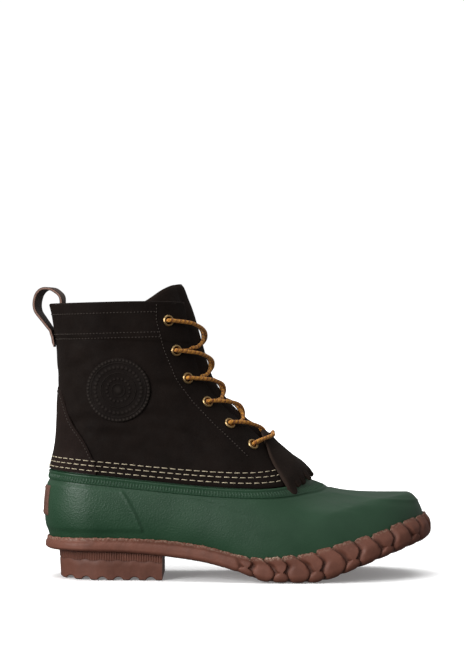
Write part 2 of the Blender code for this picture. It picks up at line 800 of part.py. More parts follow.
def make_kiltie(root, leather):
    """The flap with its fringe: three columns of cells make a strip, and one a slit."""
    along = np.concatenate([np.linspace(0, 1 - KILTIE_FRINGE, 7), [1 - KILTIE_FRINGE / 2, 1.0]])
    strip = 2.0 / KILTIE_STRIPS
    slit = 0.16 * strip
    across = [-1.0]
    for k in range(KILTIE_STRIPS):
        across += [-1 + (k + 0.5) * strip, -1 + (k + 1) * strip - slit / 2, -1 + (k + 1) * strip + slit / 2]
    across = np.array(across[:-2] + [1.0])
    p, q = np.meshgrid(along, across, indexing="ij")

    def missing(row, column):
        return row >= 6 and column % 3 == 2

    vertices, faces = sheet(kiltie_point(p, q, KILTIE_THICKNESS), kiltie_point(p, q, 0.0), missing)
    node("kiltie", vertices, faces, leather, root)


def make_loop(root, look):
    collar = ring(0.0, LATERAL, 1.0)
    knots = np.linspace(0, 1, len(LOOP["behind"]))
    rows = {"at": knots, **LOOP}
    at = np.linspace(0, 1, 28)
    half = LOOP_THICKNESS / 2
    x = collar[0] - smooth(rows, "at", "behind", at) * LOOP_REACH
    z = collar[2] + smooth(rows, "at", "above", at) * LOOP_RISE
    back = ring(0.0, LATERAL, SAMPLES)
    leather = np.interp(z, back[:, 2], back[:, 0])
    inside = leather + UPPER_WALL + 2 * GAP + half + LOOP_CLEARANCE
    outside = leather - COLLAR_STEP - 2 * GAP - half
    beside = z < collar[2] + half
    x = np.where(beside & (at < 0.5), np.maximum(x, inside), x)
    x = np.where(beside & (at > 0.5), np.minimum(x, outside), x)
    run_x, run_z = np.gradient(x), np.gradient(z)
    run = np.hypot(run_x, run_z)
    across = np.linspace(-LOOP_WIDTH / 2, LOOP_WIDTH / 2, 3)

    def grid(rise):
        twist = LOOP_TWIST * np.sin(math.pi * at) ** 2
        px = (x + run_z / run * rise)[:, None] + twist[:, None] * across[None, :]
        pz = (z - run_x / run * rise)[:, None] + 0 * across[None, :]
        return points(px, across[None, :] + 0 * px, pz)

    node("pull_loop", *sheet(grid(half), grid(-half)), look, root)


def on_upper(side, x, z):
    """The t and level at which the shaft's surface passes x and z, by Newton's steps."""
    t, level = np.full_like(x, 0.5), np.full_like(x, 0.5)
    e = 1e-4
    for _ in range(12):
        here = ring(t, side, level)
        by_t = (ring(t + e, side, level) - here) / e
        by_level = (ring(t, side, level + e) - here) / e
        miss_x, miss_z = x - here[..., 0], z - here[..., 2]
        det = by_t[..., 0] * by_level[..., 2] - by_level[..., 0] * by_t[..., 2]
        t = t + (miss_x * by_level[..., 2] - miss_z * by_level[..., 0]) / det
        level = level + (miss_z * by_t[..., 0] - miss_x * by_t[..., 2]) / det
    return t, level


def make_patch(root, leather):
    """A round patch on the outer side of the shaft, bent to it."""
    sides, reach = 24, (1.0, 0.65, 0.3)
    turn = np.linspace(0, 2 * math.pi, sides, endpoint=False)
    vertices = []
    for rise in (GAP, GAP + PATCH_THICKNESS):
        for share in reach:
            x = PATCH_X + share * PATCH_RADIUS * np.cos(turn)
            z = PATCH_Z + share * PATCH_RADIUS * np.sin(turn)
            t, level = on_upper(LATERAL, x, z)
            vertices.append(raised(ring, t, LATERAL, level, np.full_like(t, rise)))
    order = [2, 1, 0, 3, 4, 5]
    faces = [tuple(order[0] * sides + i for i in range(sides)), tuple(order[-1] * sides + i for i in range(sides))]
    for low, high in zip(order[:-1], order[1:]):
        for i in range(sides):
            j = (i + 1) % sides
            faces.append((low * sides + i, low * sides + j, high * sides + j, high * sides + i))
    node("side_patch", np.concatenate(vertices), faces, leather, root)


def make_label(root, gum):
    """A plain rubber tab on the back of the shell."""
    reach = share_at(np.abs(sole_plan(SAMPLES / 4, LATERAL)[1]), LABEL_WIDTH / 2) / 4
    across = np.linspace(-1, 1, 7)
    heights = LABEL_MIDDLE + LABEL_HEIGHT * np.linspace(-0.5, 0.5, 4)

    def grid(rise):
        made = np.zeros((len(heights), len(across), 3))
        for c, q in enumerate(across):
            side = LATERAL if q <= 0 else MEDIAL
            for r, height in enumerate(heights):
                t = np.array(abs(q) * reach)
                made[r, c] = raised(shell, t, side, shell_level(t, side, height), rise)
        return made

    node("heel_label", *sheet(grid(GAP + LABEL_THICKNESS), grid(GAP)), gum, root)


# Eyelets and lace


def eyelet_seat(row, side):
    """Middle of an eyelet on the leather, its normal, its t and its level."""
    ahead, up = EYELETS[row]
    t, level = on_upper(LATERAL, np.array(ahead * LENGTH), np.array(up * COLLAR_HEIGHT))
    base = raised(ring, t, side, level, leather_rise(level))
    normal = raised(ring, t, side, level, 1.0) - raised(ring, t, side, level, 0.0)
    return base, normal, t, level


def make_eyelets(root, brass):
    barrel = EYELET_BORE + EYELET_WALL
    foot = -UPPER_WALL
    seat = EYELET_SEAT
    profile = [
        (EYELET_BORE, foot),
        (barrel, foot),
        (barrel, seat),
        (EYELET_RADIUS, seat),
        (EYELET_RADIUS - EYELET_WALL, seat + EYELET_FLANGE),
        (EYELET_BORE + EYELET_WALL, seat + EYELET_FLANGE),
    ]
    for side, name in ((LATERAL, "lateral"), (MEDIAL, "medial")):
        for row in range(len(EYELETS)):
            base, normal, _, _ = eyelet_seat(row, side)
            node(f"eyelet_{name}_{row + 1}", *turned(profile, EYELET_SIDES, base, normal), brass, root)


def eyelet_holes(root):
    """Cutters for the holes that the eyelets' barrels pass through."""
    radius = EYELET_BORE + EYELET_WALL + GAP
    deep = 2 * UPPER_WALL
    vertices, faces = [], []
    for side in (LATERAL, MEDIAL):
        for row in range(len(EYELETS)):
            base, normal, _, _ = eyelet_seat(row, side)
            ends = [base - normal * deep, base + normal * deep]
            more, added = tube(ends, radius, EYELET_SIDES)
            faces += [tuple(i + len(vertices) for i in face) for face in added]
            vertices += more
    return cutter("eyelet_holes", vertices, faces, root)


def crossing(row, side):
    """A strand from one eyelet over the tongue to the other edge, one row further down."""
    _, _, start_t, start_level = eyelet_seat(row, side)
    end_level = eyelet_seat(row + 1, side)[3] + 0.02
    end_gap = throat_half_gap(end_level) - LACE_RADIUS - LACE_MARGIN
    front = np.linspace(0.55, 1, 801)
    line = ring(front, LATERAL, end_level)
    end_t = 0.55 + 0.45 * share_at(swing(line[:, 0]) - line[:, 1], end_gap)
    over = EYELET_SEAT + EYELET_FLANGE + LACE_RADIUS + 2 * GAP + leather_rise(start_level)
    path = []
    for w in np.linspace(0, 1, 8):
        level = start_level + (end_level - start_level) * ease(w)
        if w <= 0.5:
            t, here = start_t + (1 - start_t) * (w / 0.5), side
        else:
            t, here = 1 + (end_t - 1) * ((w - 0.5) / 0.5), -side
        hump = LACE_HUMP * math.sin(math.pi * min(w / 0.8, 1)) ** 2 * (-0.45 if row == 4 else 1)
        rise = over + hump - (over + LACE_TUCK) * float(ease((w - 0.6) / 0.4))
        path.append(raised(ring, t, here, level, rise))
    return path


def bar_path():
    """The lowest strand, from the last eyelet on each side up over the kiltie."""
    last = len(EYELETS) - 1
    over = EYELET_SEAT + EYELET_FLANGE + LACE_RADIUS + 2 * GAP
    across = np.linspace(-1, 1, 9)
    middle = kiltie_point(BAR_ALONG, across, KILTIE_THICKNESS + LACE_RADIUS + 3 * GAP)
    path = []
    for side, rows in ((LATERAL, middle), (MEDIAL, middle[::-1])):
        base, normal, _, _ = eyelet_seat(last, side)
        end = base + normal * over
        toward = rows[0] - end
        toward -= normal * np.dot(toward, normal)
        rim = end + toward / np.linalg.norm(toward) * EYELET_RADIUS
        path.append([end, rim])
    return [*path[0], *middle, *path[1][::-1]]


def make_lace(root, cord):
    for row in range(len(EYELETS) - 1):
        strand = node(f"lace_cross_{row + 1}", *tube(crossing(row, LATERAL), LACE_RADIUS), cord, root)
        other = cutter(f"lace_strand_{row + 1}", *tube(crossing(row, MEDIAL), LACE_RADIUS), root)
        boolean(strand, other, "UNION")
    node("lace_bar", *tube(bar_path(), LACE_RADIUS), cord, root)


def main():
    for old in list(bpy.data.objects):
        bpy.data.objects.remove(old)
    root = bpy.data.objects.new("boot", None)
    bpy.context.collection.objects.link(root)
    root.location = (-HEEL_CENTRE, 0, 0)
    gum = material("gum_rubber", (0.20, 0.075, 0.045), 0.55)
    green = material("green_rubber", (0.025, 0.085, 0.045), 0.45)
    leather = material("brown_leather", (0.018, 0.012, 0.009), 0.85)
    strap = material("strap_leather", (0.035, 0.016, 0.012), 0.7)
    lining = material("insole", (0.12, 0.08, 0.05), 0.9)
    brass = material("brass", (0.55, 0.42, 0.22), 0.35, 1.0)
    cord = material("lace", (0.62, 0.28, 0.05), 0.8)
    make_outsole(root, gum)
    make_shell(root, green)
    make_insole(root, lining)
    make_upper(root, leather, eyelet_holes(root))
    make_tongue(root, leather)
    make_counter(root, leather)
    make_kiltie(root, leather)
    make_loop(root, strap)
    make_patch(root, leather)
    make_label(root, gum)
    make_eyelets(root, brass)
    make_lace(root, cord)


main()
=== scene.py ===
import math

import bmesh
import bpy
import numpy as np
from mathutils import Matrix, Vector


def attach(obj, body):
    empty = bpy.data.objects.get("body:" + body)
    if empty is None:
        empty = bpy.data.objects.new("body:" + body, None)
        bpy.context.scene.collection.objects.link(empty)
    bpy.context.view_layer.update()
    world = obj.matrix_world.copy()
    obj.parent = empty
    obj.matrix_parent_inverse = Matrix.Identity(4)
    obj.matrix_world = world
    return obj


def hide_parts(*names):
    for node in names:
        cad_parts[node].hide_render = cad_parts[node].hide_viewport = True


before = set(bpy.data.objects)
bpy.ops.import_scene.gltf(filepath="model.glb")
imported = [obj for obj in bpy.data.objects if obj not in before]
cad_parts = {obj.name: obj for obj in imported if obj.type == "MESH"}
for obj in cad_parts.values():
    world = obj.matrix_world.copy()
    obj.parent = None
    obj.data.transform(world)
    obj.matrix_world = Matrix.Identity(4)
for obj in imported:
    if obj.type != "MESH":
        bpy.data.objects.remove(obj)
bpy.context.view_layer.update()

# The boot's own sizes, in metres. x is counted from the back of the heel.
LENGTH = 0.303
BALL_WIDTH = 0.108
HEEL_HEIGHT = 0.022
TOE_SPRING = 0.031
TOE_SWING = 0.006
PLATE = 0.006
FOXING = 0.005
FOXING_HEIGHT = 0.019
FOXING_LIP = 0.0018
HEEL_ROUND = 0.13
TOE_ROUND = 0.20
HEEL_BACK = 0.0105
HEEL_BREAST = 0.0925
HEEL_INSET = 0.005
HEEL_TAPER = 0.0015
SCALLOP_PITCH = 0.0128
SCALLOP_COUNT = 6
SCALLOP_RADIUS = 0.0042
SCALLOP_DEPTH = 0.0024
LOBE_START = 0.54
LOBE_COUNT = 12
LOBE_DEPTH = 0.0026
LUG_DEPTH = 0.0022
LOBE_RISE = 0.0020
CORE_INSET = 0.026
EDGE_INSET = 0.006
SHELL_WALL = 0.0024
SHELL_BULGE = 0.0045
TOE_DEPTH = 0.158
TOE_BOX = 0.70
VAMP_POWER = 4.0
RIM_HEIGHT = 0.0070
RIM_STEP = 0.0010
RIB_PITCH = 0.00226
RIB_DEPTH = 0.0009
FLANGE_WALL = 0.0014
FLANGE_LEVEL = 0.105
SEAM_LEVEL = 0.005
FLOOR_FILLET = 0.002
COLLAR_HEIGHT = 0.214
COLLAR_WIDTH = 0.083
UPPER_WALL = 0.0022
COLLAR_BAND = 0.026
COLLAR_STEP = 0.0005
THROAT_LEVEL = 0.145
THROAT_GAP = 0.019
RING_WARP = 0.10
GAP = 0.00035
INSOLE_THICKNESS = 0.004
INSOLE_CLEARANCE = 0.0008
TONGUE_THICKNESS = 0.0018
TONGUE_WRAP = 0.033
TONGUE_RISE = 0.0155
TONGUE_START = 0.13
TONGUE_BULGE = 0.0042
TONGUE_LEAN = 0.0015
TONGUE_MARGIN = 0.004
COUNTER_REACH = 0.038
COUNTER_LEVEL = 0.50
COUNTER_THICKNESS = 0.0012
KILTIE_WIDTH = 0.076
KILTIE_THICKNESS = 0.0018
KILTIE_FRINGE = 0.17
KILTIE_STRIPS = 12
KILTIE_ROOT = 0.5402
BAR_ALONG = 0.12
LOOP_WIDTH = 0.018
LOOP_THICKNESS = 0.0022
LOOP_REACH = 0.0108
LOOP_RISE = 0.0125
LOOP_TWIST = 0.22
LOOP_CLEARANCE = 0.0012
PATCH_RADIUS = 0.0245
PATCH_THICKNESS = 0.0008
PATCH_X = 0.0590
PATCH_Z = 0.1465
LABEL_WIDTH = 0.030
LABEL_HEIGHT = 0.023
LABEL_MIDDLE = 0.060
LABEL_THICKNESS = 0.0014
EYELET_RADIUS = 0.0046
EYELET_BORE = 0.0026
EYELET_WALL = 0.0005
EYELET_FLANGE = 0.0009
EYELET_SEAT = 0.0006
LACE_RADIUS = 0.0015
LACE_HUMP = 0.0016
LACE_MARGIN = 0.0012
LACE_TUCK = 0.0006

HEEL_CENTRE = (HEEL_BACK + HEEL_BREAST) / 2
LATERAL, MEDIAL = -1, 1


def table(names, *rows):
    """A short table as one array for each named column."""
    return dict(zip(names.split(), np.array(rows, float).T))


# The sole's sections along its length: half widths as shares of the ball's width, how far
# its bottom is raised, and the height of its edge.
SOLE = table(
    "along lateral medial heel_rise toe_rise foxing",
    (0.00, 0.340, 0.340, 1.00, 0.00, 0.50),
    (0.10, 0.345, 0.345, 1.00, 0.00, 0.56),
    (0.22, 0.352, 0.340, 0.96, 0.00, 0.60),
    (0.33, 0.370, 0.325, 0.82, 0.00, 0.67),
    (0.43, 0.410, 0.315, 0.61, 0.00, 0.70),
    (0.50, 0.445, 0.340, 0.34, 0.00, 0.75),
    (0.56, 0.472, 0.390, 0.05, 0.00, 0.95),
    (0.60, 0.487, 0.430, 0.00, 0.00, 1.02),
    (0.69, 0.500, 0.490, 0.00, 0.00, 1.14),
    (0.73, 0.498, 0.502, 0.00, 0.09, 1.18),
    (0.81, 0.480, 0.500, 0.00, 0.385, 1.07),
    (0.87, 0.465, 0.490, 0.00, 0.60, 0.98),
    (0.93, 0.455, 0.480, 0.00, 0.80, 1.02),
    (1.00, 0.450, 0.475, 0.00, 1.00, 0.94),
)
# The shaft's rings from the seam up: where each begins and ends, its half widths, how round
# its ends are and how far it dips between them.
SHAFT = table(
    "level back_x back_z front_x front_z rear fore heel_round front_round dip",
    (0.00, 0.013, 0.392, 0.668, 0.365, 0.415, 0.488, 0.18, 0.225, 0.040),
    (0.15, 0.027, 0.480, 0.613, 0.442, 0.405, 0.440, 0.21, 0.26, 0.018),
    (0.30, 0.032, 0.570, 0.549, 0.532, 0.415, 0.395, 0.25, 0.31, 0.004),
    (0.45, 0.033, 0.664, 0.479, 0.622, 0.430, 0.385, 0.29, 0.34, 0.000),
    (0.60, 0.031, 0.753, 0.433, 0.712, 0.450, 0.410, 0.33, 0.37, 0.000),
    (0.80, 0.025, 0.874, 0.402, 0.846, 0.475, 0.450, 0.38, 0.40, -0.002),
    (0.93, 0.016, 0.960, 0.381, 0.951, 0.492, 0.470, 0.41, 0.42, -0.005),
    (1.00, 0.010, 0.995, 0.370, 0.998, 0.500, 0.478, 0.42, 0.42, -0.007),
)
# Half the throat's gap, as a share of THROAT_GAP.
THROAT = table(
    "level gap",
    (THROAT_LEVEL, 0.55),
    (0.30, 0.62),
    (0.45, 0.80),
    (0.65, 0.97),
    (0.80, 1.10),
    (1.00, 0.80),
)
# How far back the tongue's sides reach, by level, and its top edge from the middle outwards.
TONGUE_SIDES = table("level wrap", (0.10, 0.25), (0.20, 0.42), (0.50, 0.70), (1.10, 1.14))
TONGUE_TOP = table("behind rise", (0.0, 1.0), (0.25, 0.98), (0.60, 0.66), (1.0, -0.10))
# The counter's upper edge, from the back to its front.
COUNTER_EDGE = table(
    "reach level", (0.0, 1.0), (0.26, 0.92), (0.50, 0.62), (0.76, 0.38), (0.90, 0.2), (1.0, 0.06)
)
# The outer eyelets from the top down: shares of LENGTH and of COLLAR_HEIGHT.
EYELETS = (
    (0.320, 0.933),
    (0.341, 0.826),
    (0.370, 0.726),
    (0.420, 0.640),
    (0.477, 0.562),
    (0.536, 0.486),
)
# The flap's sections from its root to its tips.
KILTIE = table(
    "along ahead down wide drop back",
    (0.0, 0.5650, 0.0000, 0.34, 0.08, 0.00),
    (0.2, 0.5880, 0.0465, 0.58, 0.22, 0.08),
    (0.45, 0.6250, 0.0892, 0.74, 0.38, 0.20),
    (0.75, 0.6650, 0.1280, 0.83, 0.42, 0.37),
    (1.0, 0.6900, 0.1760, 0.88, 0.37, 0.46),
)
# The pull loop's middle line from its inner end to its outer one: shares of LOOP_REACH
# behind the collar's back edge and of LOOP_RISE above it.
LOOP = table(
    "behind above",
    (-0.60, -1.75),
    (-0.50, -1.15),
    (-0.70, -0.56),
    (-0.93, 0.00),
    (-0.88, 0.48),
    (-0.51, 0.80),
    (-0.14, 0.95),
    (0.36, 0.93),
    (0.74, 0.61),
    (0.91, 0.05),
    (0.83, -0.45),
    (0.48, -0.90),
    (0.07, -1.38),
    (-0.20, -1.72),
    (-0.36, -2.05),
    (-0.44, -2.38),
    (-0.47, -2.70),
)
# Flexing creases in the rubber: the middle's x and z, the slope, the depth and the reach.
RUBBER_CREASES = (
    (0.2375, 0.0545, -0.26, 0.00022, 0.008),
    (0.222, 0.0615, -0.35, 0.00018, 0.007),
    (0.128, 0.060, -0.30, 0.00030, 0.018),
    (0.150, 0.0525, -0.22, 0.00022, 0.014),
)
# Wear folds in the leather: the same numbers, and each fold's width.
LEATHER_FOLDS = (
    (0.030, 0.1230, 0.10, 0.0011, 0.020, 0.0045),
    (0.052, 0.1120, -0.18, 0.0010, 0.026, 0.0050),
    (0.088, 0.1270, -0.42, 0.0012, 0.026, 0.0045),
    (0.108, 0.1130, -0.50, 0.0010, 0.022, 0.0040),
    (0.100, 0.1500, -0.30, 0.0009, 0.018, 0.0040),
    (0.028, 0.1650, 0.22, 0.0008, 0.018, 0.0045),
    (0.060, 0.1780, -0.05, 0.0006, 0.026, 0.0050),
)
# A stitch's length, pitch and thread radius, and where the rows lie: above the rubber at
# the heel and at the front, and below the collar's edge.
CREAM_STITCH = (0.0046, 0.0062, 0.00034)
DARK_STITCH = (0.0012, 0.0026, 0.00036)
SEAM_ROWS = ((0.0022, 0.0036), (0.0058, 0.0078), (0.0092, 0.0114))
COLLAR_ROWS = (0.0084, 0.0238, 0.0275)
# Dark and light colours of each leather and of the green rubber, the colour of worn edges, and the patch's
# painted highlight.
HIDE = ((0.0043, 0.0024, 0.0018), (0.0084, 0.0050, 0.0037))
STAMPED = ((0.0050, 0.0034, 0.0027), (0.0095, 0.0066, 0.0054))
PATCH_HIGHLIGHT = (0.034, 0.027, 0.023)
COUNTER_HIDE = ((0.0074, 0.0040, 0.0031), (0.0134, 0.0076, 0.0060))
FLAP = ((0.0072, 0.0044, 0.0034), (0.0135, 0.0086, 0.0066))
FLAP_EDGE = (0.036, 0.023, 0.017)
GREEN = ((0.0110, 0.0440, 0.0190), (0.0160, 0.0560, 0.0250))
GREEN_ROUGHNESS = 0.46
GREEN_GRAIN = 0.00018
GRAIN_FADES = (0.02, 0.17)
CREAM_THREAD = (0.62, 0.53, 0.37)
DARK_THREAD = (0.046, 0.035, 0.028)
# The stage: each lamp's name, place, size and watts. The last one lights the floor alone.
CAMERA_AT = (0.0947, -1.5, 0.1968)
CAMERA_LENS = 105.9
CAMERA_SENSOR = 36.0
LAMPS_AIM = (0.09, 0.0, 0.09)
LAMPS = (
    ("key", (-1.20, -1.30, 0.72), 1.1, 36.0),
    ("top", (-0.35, 0.10, 1.9), 1.3, 9.0),
    ("fill", (1.1, -1.7, 0.8), 1.4, 1.2),
    ("floor_light", (0.10, 0.0, 2.2), 2.2, 45.0),
)
FLOOR_REACH = 7.0
BACKDROP_GLOW = 1.02
# The two relief lines moulded into the rubber: the heel's x by height, the toe's height by x.
HEEL_LINE = table(
    "z x", (0.032, 0.080), (0.040, 0.0776), (0.052, 0.0725), (0.063, 0.0665), (0.080, 0.055)
)
TOE_LINE = table(
    "x z",
    (0.180, 0.0790),
    (0.2109, 0.0694),
    (0.2309, 0.0647),
    (0.2471, 0.0627),
    (0.2672, 0.0611),
    (0.300, 0.0585),
)


def smooth(rows, at_name, name, at):
    """A table's column between its rows, on a cubic that runs straight past its ends."""
    x, y = rows[at_name], rows[name]
    slope = np.gradient(y, x)
    at = np.asarray(at, float)
    inside = np.clip(at, x[0], x[-1])
    i = np.clip(np.searchsorted(x, inside) - 1, 0, len(x) - 2)
    step = x[i + 1] - x[i]
    u = (inside - x[i]) / step
    value = (
        (1 + 2 * u) * (1 - u) ** 2 * y[i]
        + u * (1 - u) ** 2 * step * slope[i]
        + u * u * (3 - 2 * u) * y[i + 1]
        + u * u * (u - 1) * step * slope[i + 1]
    )
    return value + (at - inside) * np.where(at < inside, slope[0], slope[-1])


def ease(q):
    """Goes from 0 to 1 with no slope at either end."""
    q = np.clip(q, 0, 1)
    return q * q * (3 - 2 * q)


def rounded_end(q):
    """A quarter circle from 0 at q = 0 to 1 at q = 1."""
    q = np.clip(q, 0, 1)
    return np.sqrt(q * (2 - q))


def bell(away, width):
    """1 where away is 0, falling to nothing a few widths off."""
    return np.exp(-((away / width) ** 2))


def points(x, y, z):
    return np.stack(np.broadcast_arrays(x, y, z), axis=-1)


def swing(x):
    """How far the foot's middle line bends towards the inner side."""
    return TOE_SWING * ease((x / LENGTH - 0.45) / 0.55)


def sole_plan(t, side, inset=0.0):
    """The sole's outline at t, from 0 at the heel's back to 1 at the toe."""
    u = (1 - np.cos(math.pi * np.asarray(t, float))) / 2
    x = inset + u * (LENGTH - 2 * inset)
    name = np.where(side < 0, smooth(SOLE, "along", "lateral", u), smooth(SOLE, "along", "medial", u))
    y = (name * BALL_WIDTH - inset) * rounded_end(u / HEEL_ROUND) * rounded_end((1 - u) / TOE_ROUND)
    return x, swing(x) + side * y


def sole_bottom(x):
    """Height of the outsole's underside, without its heel block."""
    share = np.clip(x / LENGTH, 0, 1)
    heel = smooth(SOLE, "along", "heel_rise", share) * HEEL_HEIGHT
    toe = smooth(SOLE, "along", "toe_rise", share) * TOE_SPRING
    return np.where(share < 0.60, np.maximum(heel, 0), 0) + np.where(share > 0.69, np.maximum(toe, 0), 0)


def foxing_top(x):
    share = np.clip(x / LENGTH, 0, 1)
    return sole_bottom(x) + smooth(SOLE, "along", "foxing", share) * FOXING_HEIGHT


def ring(t, side, level):
    """A point of the shaft's outer surface: t from the heel's back to the front."""
    def column(name):
        return smooth(SHAFT, "level", name, level)

    t = np.asarray(t, float)
    u = (1 - np.cos(math.pi * (t + RING_WARP * np.sin(math.pi * t)))) / 2
    back, front = column("back_x") * LENGTH, column("front_x") * LENGTH
    x = back + u * (front - back)
    wide = (column("rear") + (column("fore") - column("rear")) * ease(u)) * COLLAR_WIDTH
    y = wide * rounded_end(u / column("heel_round")) * rounded_end((1 - u) / column("front_round"))
    hang = u**1.5 * np.sqrt(np.clip(1 - u, 0, 1)) / 0.325
    height = column("back_z") + (column("front_z") - column("back_z")) * u - column("dip") * hang
    return points(x, swing(x) + side * y, height * COLLAR_HEIGHT)


def meridian(t, s):
    """The shares of the way in and of the way up that the shell has gone at s."""
    toe = ease((np.asarray(t, float) - 0.55) / 0.30)
    half = 0.5
    angle = np.clip(s / half, 0, 1) * math.pi / 2
    ramp = np.clip((s - half) / (1 - half), 0, 1)
    depth = TOE_DEPTH + 0.22 * (1 - ease((np.asarray(t, float) - 0.78) / 0.20))
    toe_in = depth * (1 - np.cos(angle)) + (1 - depth) * ramp
    toe_up = TOE_BOX * np.sin(angle) + (1 - TOE_BOX) * ramp**VAMP_POWER
    return (1 - toe) * s + toe * toe_in, (1 - toe) * s + toe * toe_up, toe


def shell(t, side, s):
    """The rubber shell's outer surface: s from its lower edge, in the sole, to the seam."""
    t, s = np.asarray(t, float), np.asarray(s, float)
    x0, y0 = sole_plan(t, side, FOXING)
    z0 = sole_bottom(x0) + PLATE + GAP
    top = ring(t, side, 0.0)
    way_in, way_up, toe = meridian(t, s)
    step = 1e-4
    x1, y1 = sole_plan(np.clip(t + step, 0, 1), side, FOXING)
    x2, y2 = sole_plan(np.clip(t - step, 0, 1), side, FOXING)
    run = np.hypot(x1 - x2, y1 - y2)
    bulge = SHELL_BULGE * (1 - toe) * np.sin(math.pi * np.clip(s, 0, 1) ** 0.75)
    x = x0 + (top[..., 0] - x0) * way_in - side * (y1 - y2) / run * bulge
    y = y0 + (top[..., 1] - y0) * way_in + side * (x1 - x2) / run * bulge
    return points(x, y, z0 + (top[..., 2] - z0) * way_up)


def normals(surface, t, side, v):
    """Unit normals of a surface, pointing out of the boot."""
    e = 2e-4
    t, v = np.asarray(t, float), np.asarray(v, float)
    along = surface(np.clip(t + e, 0, 1), side, v) - surface(np.clip(t - e, 0, 1), side, v)
    up = surface(t, side, v + e) - surface(t, side, v - e)
    normal = np.cross(along, up) * -np.asarray(side, float)[..., None]
    return normal / np.linalg.norm(normal, axis=-1, keepdims=True)


def raised(surface, t, side, v, rise):
    """A surface's point moved out along its normal by rise."""
    return surface(t, side, v) + normals(surface, t, side, v) * np.asarray(rise, float)[..., None]


def share_at(value, target):
    """Where, from 0 to 1, a sampled value that only grows or only falls meets a target."""
    steps = np.linspace(0, 1, len(value))
    grows = 1 if value[-1] > value[0] else -1
    return float(np.interp(grows * target, grows * value, steps))


SAMPLES = np.linspace(0, 1, 801)


def halved(low, high, steps, falls_short):
    """Where something that grows from low to high stops falling short, by halving."""
    for _ in range(steps):
        middle = (low + high) / 2
        short = falls_short(middle)
        low, high = np.where(short, middle, low), np.where(short, high, middle)
    return low


def shell_level(t, side, z):
    """The s at which the shell's meridian at t passes the height z."""
    shape = np.broadcast(t, side, z).shape
    return halved(np.zeros(shape), np.ones(shape), 22, lambda s: shell(t, side, s)[..., 2] < z)


def throat_half_gap(level):
    """Half the gap between the throat's edges: 0 below its foot, which is round."""
    opening = rounded_end((level - THROAT_LEVEL) / 0.07)
    return THROAT_GAP * smooth(THROAT, "level", "gap", np.maximum(level, THROAT_LEVEL)) * opening


def t_beside_middle(level, gap):
    """The t at which a ring's front half comes within gap of the foot's middle line."""
    line = ring(np.linspace(0.55, 1, 801), LATERAL, level)
    return 0.55 + 0.45 * share_at(swing(line[:, 0]) - line[:, 1], gap)


def throat_edge(level):
    """The t at which a ring reaches the throat's edge."""
    gap = throat_half_gap(level)
    return t_beside_middle(level, gap) if gap > 0 else 1.0


def t_at_x(level, x):
    """The t at which a ring passes x."""
    level, x = np.broadcast_arrays(np.asarray(level, float), np.asarray(x, float))
    return halved(np.zeros(x.shape), np.ones(x.shape), 24, lambda t: ring(t, LATERAL, level)[..., 0] < x)


def ripple(run, pitch, seed):
    """An irregular wave between about -1 and 1 along a run."""
    turn = 2 * math.pi * np.asarray(run) / pitch
    return (
        0.5 * np.sin(turn + seed)
        + 0.3 * np.sin(2.13 * turn + 2.7 * seed)
        + 0.2 * np.sin(3.71 * turn + 5.1 * seed)
    )


# Node trees


def look(name, colour, roughness, **inputs):
    """A material with its shader's plain numbers set, and its node tree and shader."""
    made = bpy.data.materials.new(name)
    made.use_nodes = True
    shader = made.node_tree.nodes["Principled BSDF"]
    shader.inputs["Base Color"].default_value = (*colour, 1)
    shader.inputs["Roughness"].default_value = roughness
    for key, value in inputs.items():
        shader.inputs[key.replace("_", " ")].default_value = value
    made.diffuse_color = (*colour, 1)
    return made, made.node_tree, shader


def add(tree, kind, inputs=None, **settings):
    """A node with its settings, and its sockets set to a number or linked to a socket."""
    made = tree.nodes.new(kind)
    for key, value in settings.items():
        setattr(made, key, value)
    for key, value in (inputs or {}).items():
        if isinstance(value, bpy.types.NodeSocket):
            tree.links.new(value, made.inputs[key])
        else:
            made.inputs[key].default_value = value
    return made


def place(tree):
    return add(tree, "ShaderNodeTexCoord").outputs["Object"]


def noise(tree, scale, detail=3.0, rough=0.5, at=None):
    inputs = {"Scale": scale, "Detail": detail, "Roughness": rough, "Vector": at or place(tree)}
    return add(tree, "ShaderNodeTexNoise", inputs).outputs["Fac"]


def between(tree, value, low, high, to_low=0.0, to_high=1.0):
    made = add(
        tree,
        "ShaderNodeMapRange",
        {"Value": value, "From Min": low, "From Max": high, "To Min": to_low, "To Max": to_high},
        clamp=True,
    )
    return made.outputs["Result"]


def calc(tree, operation, a, b=0.0):
    return add(tree, "ShaderNodeMath", {0: a, 1: b}, operation=operation).outputs[0]


def blend_colours(tree, factor, a, b):
    made = tree.nodes.new("ShaderNodeMix")
    made.data_type = "RGBA"
    tree.links.new(factor, made.inputs["Factor"])
    for key, value in (("A", a), ("B", b)):
        socket = [s for s in made.inputs if s.name == key and s.type == "RGBA"][0]
        if isinstance(value, bpy.types.NodeSocket):
            tree.links.new(value, socket)
        else:
            socket.default_value = (*value, 1)
    return [s for s in made.outputs if s.type == "RGBA"][0]


def bump(tree, height, depth, strength=1.0, under=None):
    """A bump of a depth in metres, over another bump if one is given."""
    inputs = {"Height": height, "Distance": depth, "Strength": strength}
    if under:
        inputs["Normal"] = under
    return add(tree, "ShaderNodeBump", inputs).outputs["Normal"]


def mark(tree, name):
    return add(tree, "ShaderNodeAttribute", attribute_name=name).outputs["Fac"]


def wire(tree, shader, **parts):
    """Links a shader's colour, roughness and bump, whichever are given."""
    sockets = {"base": "Base Color", "rough": "Roughness", "normal": "Normal"}
    for key, value in parts.items():
        tree.links.new(value, shader.inputs[sockets[key]])


def shade(colour, by):
    return tuple(c * by for c in colour)


